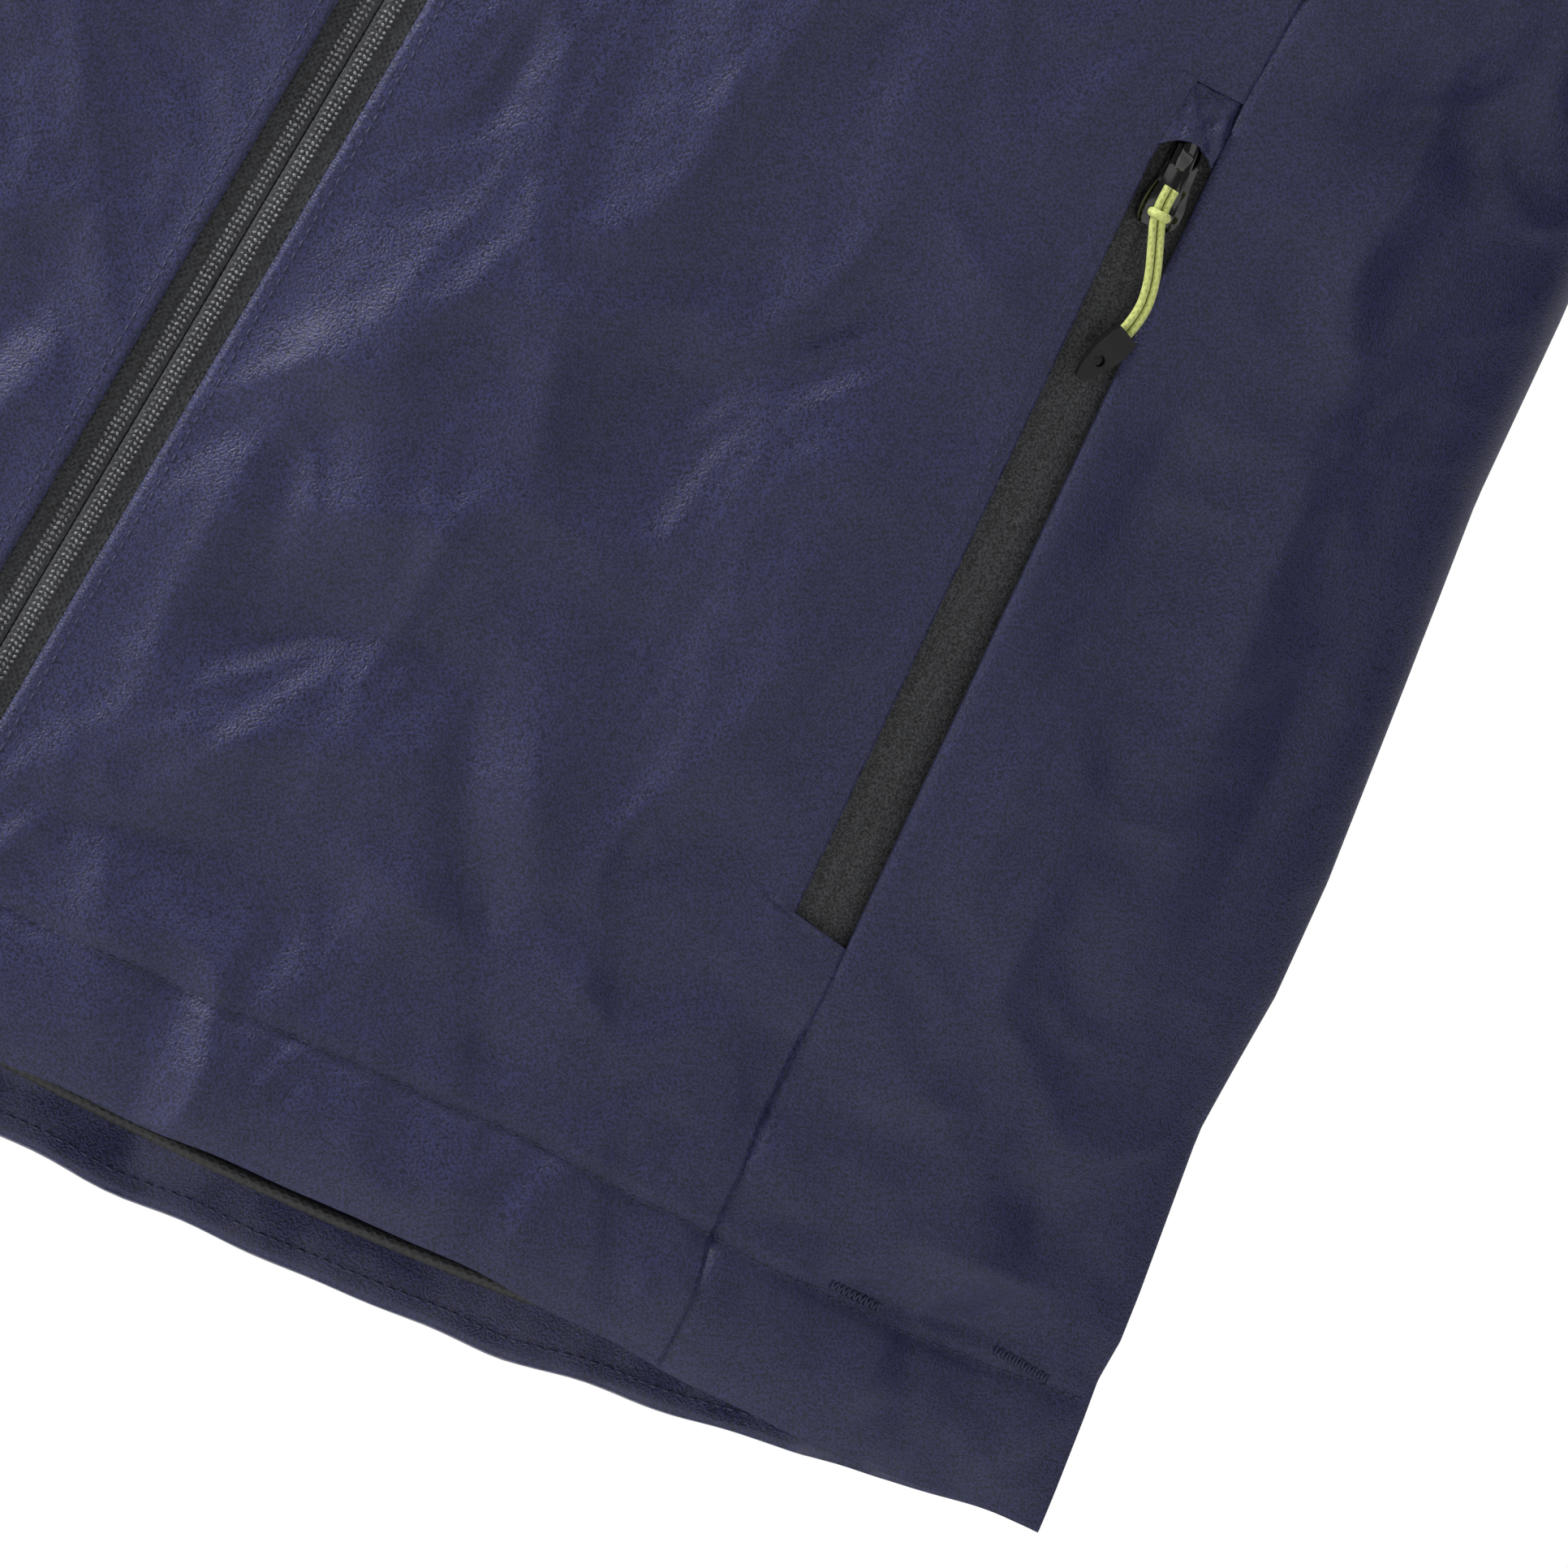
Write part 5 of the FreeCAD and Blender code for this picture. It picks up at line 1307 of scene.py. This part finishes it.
webbing = woven("webbing", (0.008, 0.008, 0.009), (0.030, 0.031, 0.034), 0.6, 300, 1500, 0.3, 0.0003)
loop, u, v = new_grid("hanging_loop_strap", 60, 8, True)
across = -30 + u * 60
near_end = np.clip((np.abs(across) - 22) / 8, 0, 1)
depth = -7.7 + 3.6 * near_end ** 2 * (3 - 2 * near_end) + 0.1 * np.sin(across * 4.2)
set_points(loop, np.stack((across, depth, 0.2 + v * 6.6), axis=-1))
thicken(loop, 0.0013)
hand_over(loop, webbing, "webbing", "jacket_body", "hanging_loop")

# ---------------------------------------------------------------- inside of the jacket
# A storm flap backs the front zip, mesh lines the body, and each pocket has a thin bag.
mesh_cloth, mesh_shader = new_material("mesh_cloth", (0.012, 0.013, 0.020), 0.75)
holes_spot = add_node(mesh_cloth.node_tree, "TexCoord")
holes = add_node(mesh_cloth.node_tree, "TexVoronoi", {"feature": "F1"},
                 {"Scale": 420.0, "Randomness": 0.15}, Vector=holes_spot.outputs["Object"])
holes_colour = add_node(mesh_cloth.node_tree, "ValToRGB", Fac=holes.outputs["Distance"])
holes_colour.color_ramp.elements[0].color = (0.002, 0.002, 0.003, 1)
holes_colour.color_ramp.elements[0].position = 0.22
holes_colour.color_ramp.elements[1].color = (0.020, 0.021, 0.030, 1)
holes_colour.color_ramp.elements[1].position = 0.38
holes_bump = add_node(mesh_cloth.node_tree, "Bump", (), {"Strength": 0.6, "Distance": 0.0004},
                      Height=holes.outputs["Distance"])
mesh_cloth.node_tree.links.new(holes_colour.outputs["Color"], mesh_shader.inputs["Base Color"])
mesh_cloth.node_tree.links.new(holes_bump.outputs["Normal"], mesh_shader.inputs["Normal"])

flap, u, v = new_grid("storm_flap_cloth", 20, 260, True)
level = -710 + v * (710 - 84)
across = (-27 + u * 54) + 0.8 * uneven(np.stack((level, np.zeros(len(level))), axis=-1), 60, 401)
depth = -150 + 8.2 + 0.7 * uneven(np.stack((across, level * 0.4), axis=-1), 30, 402)
depth = depth + np.interp(np.abs(across) / 27, (0, 1), (0, 1.2))
set_points(flap, np.stack((across, depth, level), axis=-1))
thicken(flap, 0.0013)
hand_over(flap, shell_cloth, "shell_fabric", "jacket_body", "storm_flap")

LINING_LIFT = 34
for name, side, wearer in (("lining_front_left", -1, 1), ("lining_front_right", -1, -1),
                           ("lining_back", 1, 1)):
    mesh_sheet, u, v = new_grid(name, 120 if side > 0 else 70, 120, (side > 0) == (wearer > 0))
    table = back_hem if side > 0 else front_hem
    level = -690 + v * (690 - 92)
    half = np.minimum(outer_share(level), 1)
    if side > 0:
        angle = (-1 + 2 * u) * np.arcsin(half) * 0.985
    else:
        inner_edge = np.arcsin(34 / torso_measure(level, 1))
        angle = inner_edge + u * (np.arcsin(half) * 0.985 - inner_edge)
    across = torso_measure(level, 1) * np.sin(angle)
    level = level + (hem_line(table, across) + LINING_LIFT + 690) * np.clip(1 - v * 4, 0, 1)
    flat = np.stack((across, level * 0.6), axis=-1)
    inset = 11.4 + 0.8 * uneven(flat, 60, 411 + side)
    depth = torso_measure(level, 2 if side < 0 else 3) - inset
    rise = np.maximum(np.cos(angle), 0) ** (2 * torso_measure(level, 4))
    points = np.stack((wearer * (torso_measure(level, 1) - inset) * np.sin(angle),
                       SEAM_Y / MM + side * depth * rise, level), axis=-1)
    set_points(mesh_sheet, points)
    thicken(mesh_sheet, 0.0008)
    mesh_sheet.data.materials.append(mesh_cloth)
    if side > 0:
        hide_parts("lining")
    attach(mesh_sheet, "jacket_body")

for wearer, label in ((1, "left"), (-1, "right")):
    bag, u, v = new_grid("pocket_bag_%s_cloth" % label, 44, 80, wearer > 0)
    level = -650 + v * 208
    across = 94 + u * 112
    corner = np.clip((np.abs(u - 0.5) - 0.36) / 0.14, 0, 1) * np.clip((0.14 - v) / 0.14, 0, 1)
    level = level + 26 * corner ** 2
    angle = torso_angle(across, level)
    inset = 9.2 + 0.5 * uneven(np.stack((across, level), axis=-1), 30, 421)
    points = torso_point(angle, level, -1) - torso_normal(angle, level, -1) * inset[:, None]
    points[:, 0] *= wearer
    set_points(bag, points)
    thicken(bag, 0.0008)
    hand_over(bag, mesh_cloth, "mesh_lining", "jacket_body", "pocket_bag_" + label)

# ---------------------------------------------------------------- hood
# Three panels make the hood: a centre strip and two sides, lined in lime. A stiffened peak
# shades the brow, and a band joins the hood to the back of the collar.
hood_rings = np.array(((12, -66, 98, 97), (70, -64, 106, 112), (140, -62, 116, 130), (210, -60, 114, 130),
                       (262, -57, 94, 109), (296, -53, 58, 68), (310, -50, 16, 18)), float)
FACE_FOOT = (-116, 12)
FACE_BROW = (-166, 280)
HOOD_SEAM = 46.0
HOOD_MIDDLE = np.array((0, -60.0, 150.0))
lime_cloth = woven("lime_cloth", (0.36, 0.42, 0.085), (0.50, 0.58, 0.15), 0.55, 420, 1500, 0.6, 0.00011,
                   0.1)


def hood_size(level, column):
    """One column of the hood's sizes at any level, eased over the drawn levels."""
    total = 0
    for step in (-12, -6, 0, 6, 12):
        ease = np.minimum(1, np.minimum(level - 12, 310 - level) / 14)
        total = total + np.interp(level + step * ease, hood_rings[:, 0], hood_rings[:, column])
    return total / 5


def hood_surface(angle, level, inset, wearer=1):
    """Points of the folded hood: angle 0 is the back of the head and 180 degrees the face."""
    points = np.stack((hood_size(level, 2) * np.sin(angle),
                       hood_size(level, 1) + hood_size(level, 3) * np.cos(angle), level), axis=-1)
    away = points - HOOD_MIDDLE
    away /= np.linalg.norm(away, axis=1, keepdims=True)
    worn = points * np.array((wearer, 1, 1))
    fold = 2.6 * uneven(worn * np.array((1, 1, 0.7)), 120, 501) + 1.0 * uneven(worn, 46, 502)
    points = points + away * (fold - 1.2 - inset)[:, None]
    return points * np.array((wearer, 1, 1))


def face_angle(level):
    """Where the opening for the face cuts each level."""
    cut = np.interp(level, (FACE_FOOT[1], FACE_BROW[1]), (FACE_FOOT[0], FACE_BROW[0]))
    share = np.clip((cut - hood_size(level, 1)) / hood_size(level, 3), -1, 1)
    return np.arccos(share)


def sew_hood_piece(piece, points, layer, node):
    """Places one panel of the hood; only the outer layer stands for a node."""
    set_points(piece, points)
    mend(piece, 0.0001)
    face_away(piece, Vector(HOOD_MIDDLE) * MM)
    outer = layer == "cloth"
    thicken(piece, 0.0016 if outer else 0.0006)
    hand_over(piece, shell_cloth if outer else lime_cloth, "shell_fabric", "hood",
              *((node,) if outer else ()))


for layer, inset, brow in (("cloth", 0.0, 261.5), ("lining", 2.3, 266.5)):
    for wearer, label in ((1, "left"), (-1, "right")):
        piece, u, v = new_grid("hood_side_%s_%s" % (label, layer), 110, 120, wearer < 0)
        level = 12.5 + v ** 0.85 * (299.5 - 12.5)
        seam_angle = np.arcsin(np.clip(HOOD_SEAM / hood_size(level, 2), 0, 1))
        face_side = math.pi - np.where(level > 262, seam_angle, 0)
        far = np.maximum(np.minimum(face_angle(level), face_side), seam_angle)
        angle = seam_angle + u * (far - seam_angle)
        sew_hood_piece(piece, hood_surface(angle, level, inset, wearer), layer, "hood_side_" + label)

    # The centre strip runs from the nape over the crown to the brow.
    piece, u, v = new_grid("hood_centre_" + layer, 60, 190, False)
    profile_levels = np.concatenate((np.linspace(12.5, 309.0, 150), np.linspace(309.0, brow, 41)[1:]))
    row = v * (len(profile_levels) - 1)
    level = np.interp(row, np.arange(len(profile_levels)), profile_levels)
    strip = (-1 + 2 * u) * np.arcsin(np.minimum(HOOD_SEAM / hood_size(level, 2), 1.0))
    angle = np.where(row > 149, math.pi - strip, strip)
    sew_hood_piece(piece, hood_surface(angle, level, inset), layer, "hood_centre")

# The peak and the neck band are stiffened strips.
peak, u, v = new_grid("hood_peak_cloth", 70, 26, True)
tilt = math.radians(6)
turn = math.radians(-45) + u * math.radians(90)
reach = v * 40 * (1 - 0.35 * np.abs(2 * u - 1) ** 3)
PEAK_RADIUS = 105
set_points(peak, np.stack((
    PEAK_RADIUS * np.sin(turn), -157 - reach * math.cos(tilt),
    160 + PEAK_RADIUS * np.cos(turn) - reach * math.sin(tilt)), axis=-1))
if sum(face.normal.z for face in peak.data.polygons) < 0:
    peak.data.flip_normals()
thicken(peak, 0.0022)
rounded = peak.modifiers.new("rounded", "BEVEL")
rounded.width = 0.0006
rounded.segments = 2
rounded.limit_method = "ANGLE"
apply_all(peak)
hand_over(peak, shell_cloth, "shell_fabric", "hood", "hood_peak")

dress(shell_cloth, "hood_neck_band")
dress(webbing, "hem_elastic")
bpy.data.objects.remove(bead)
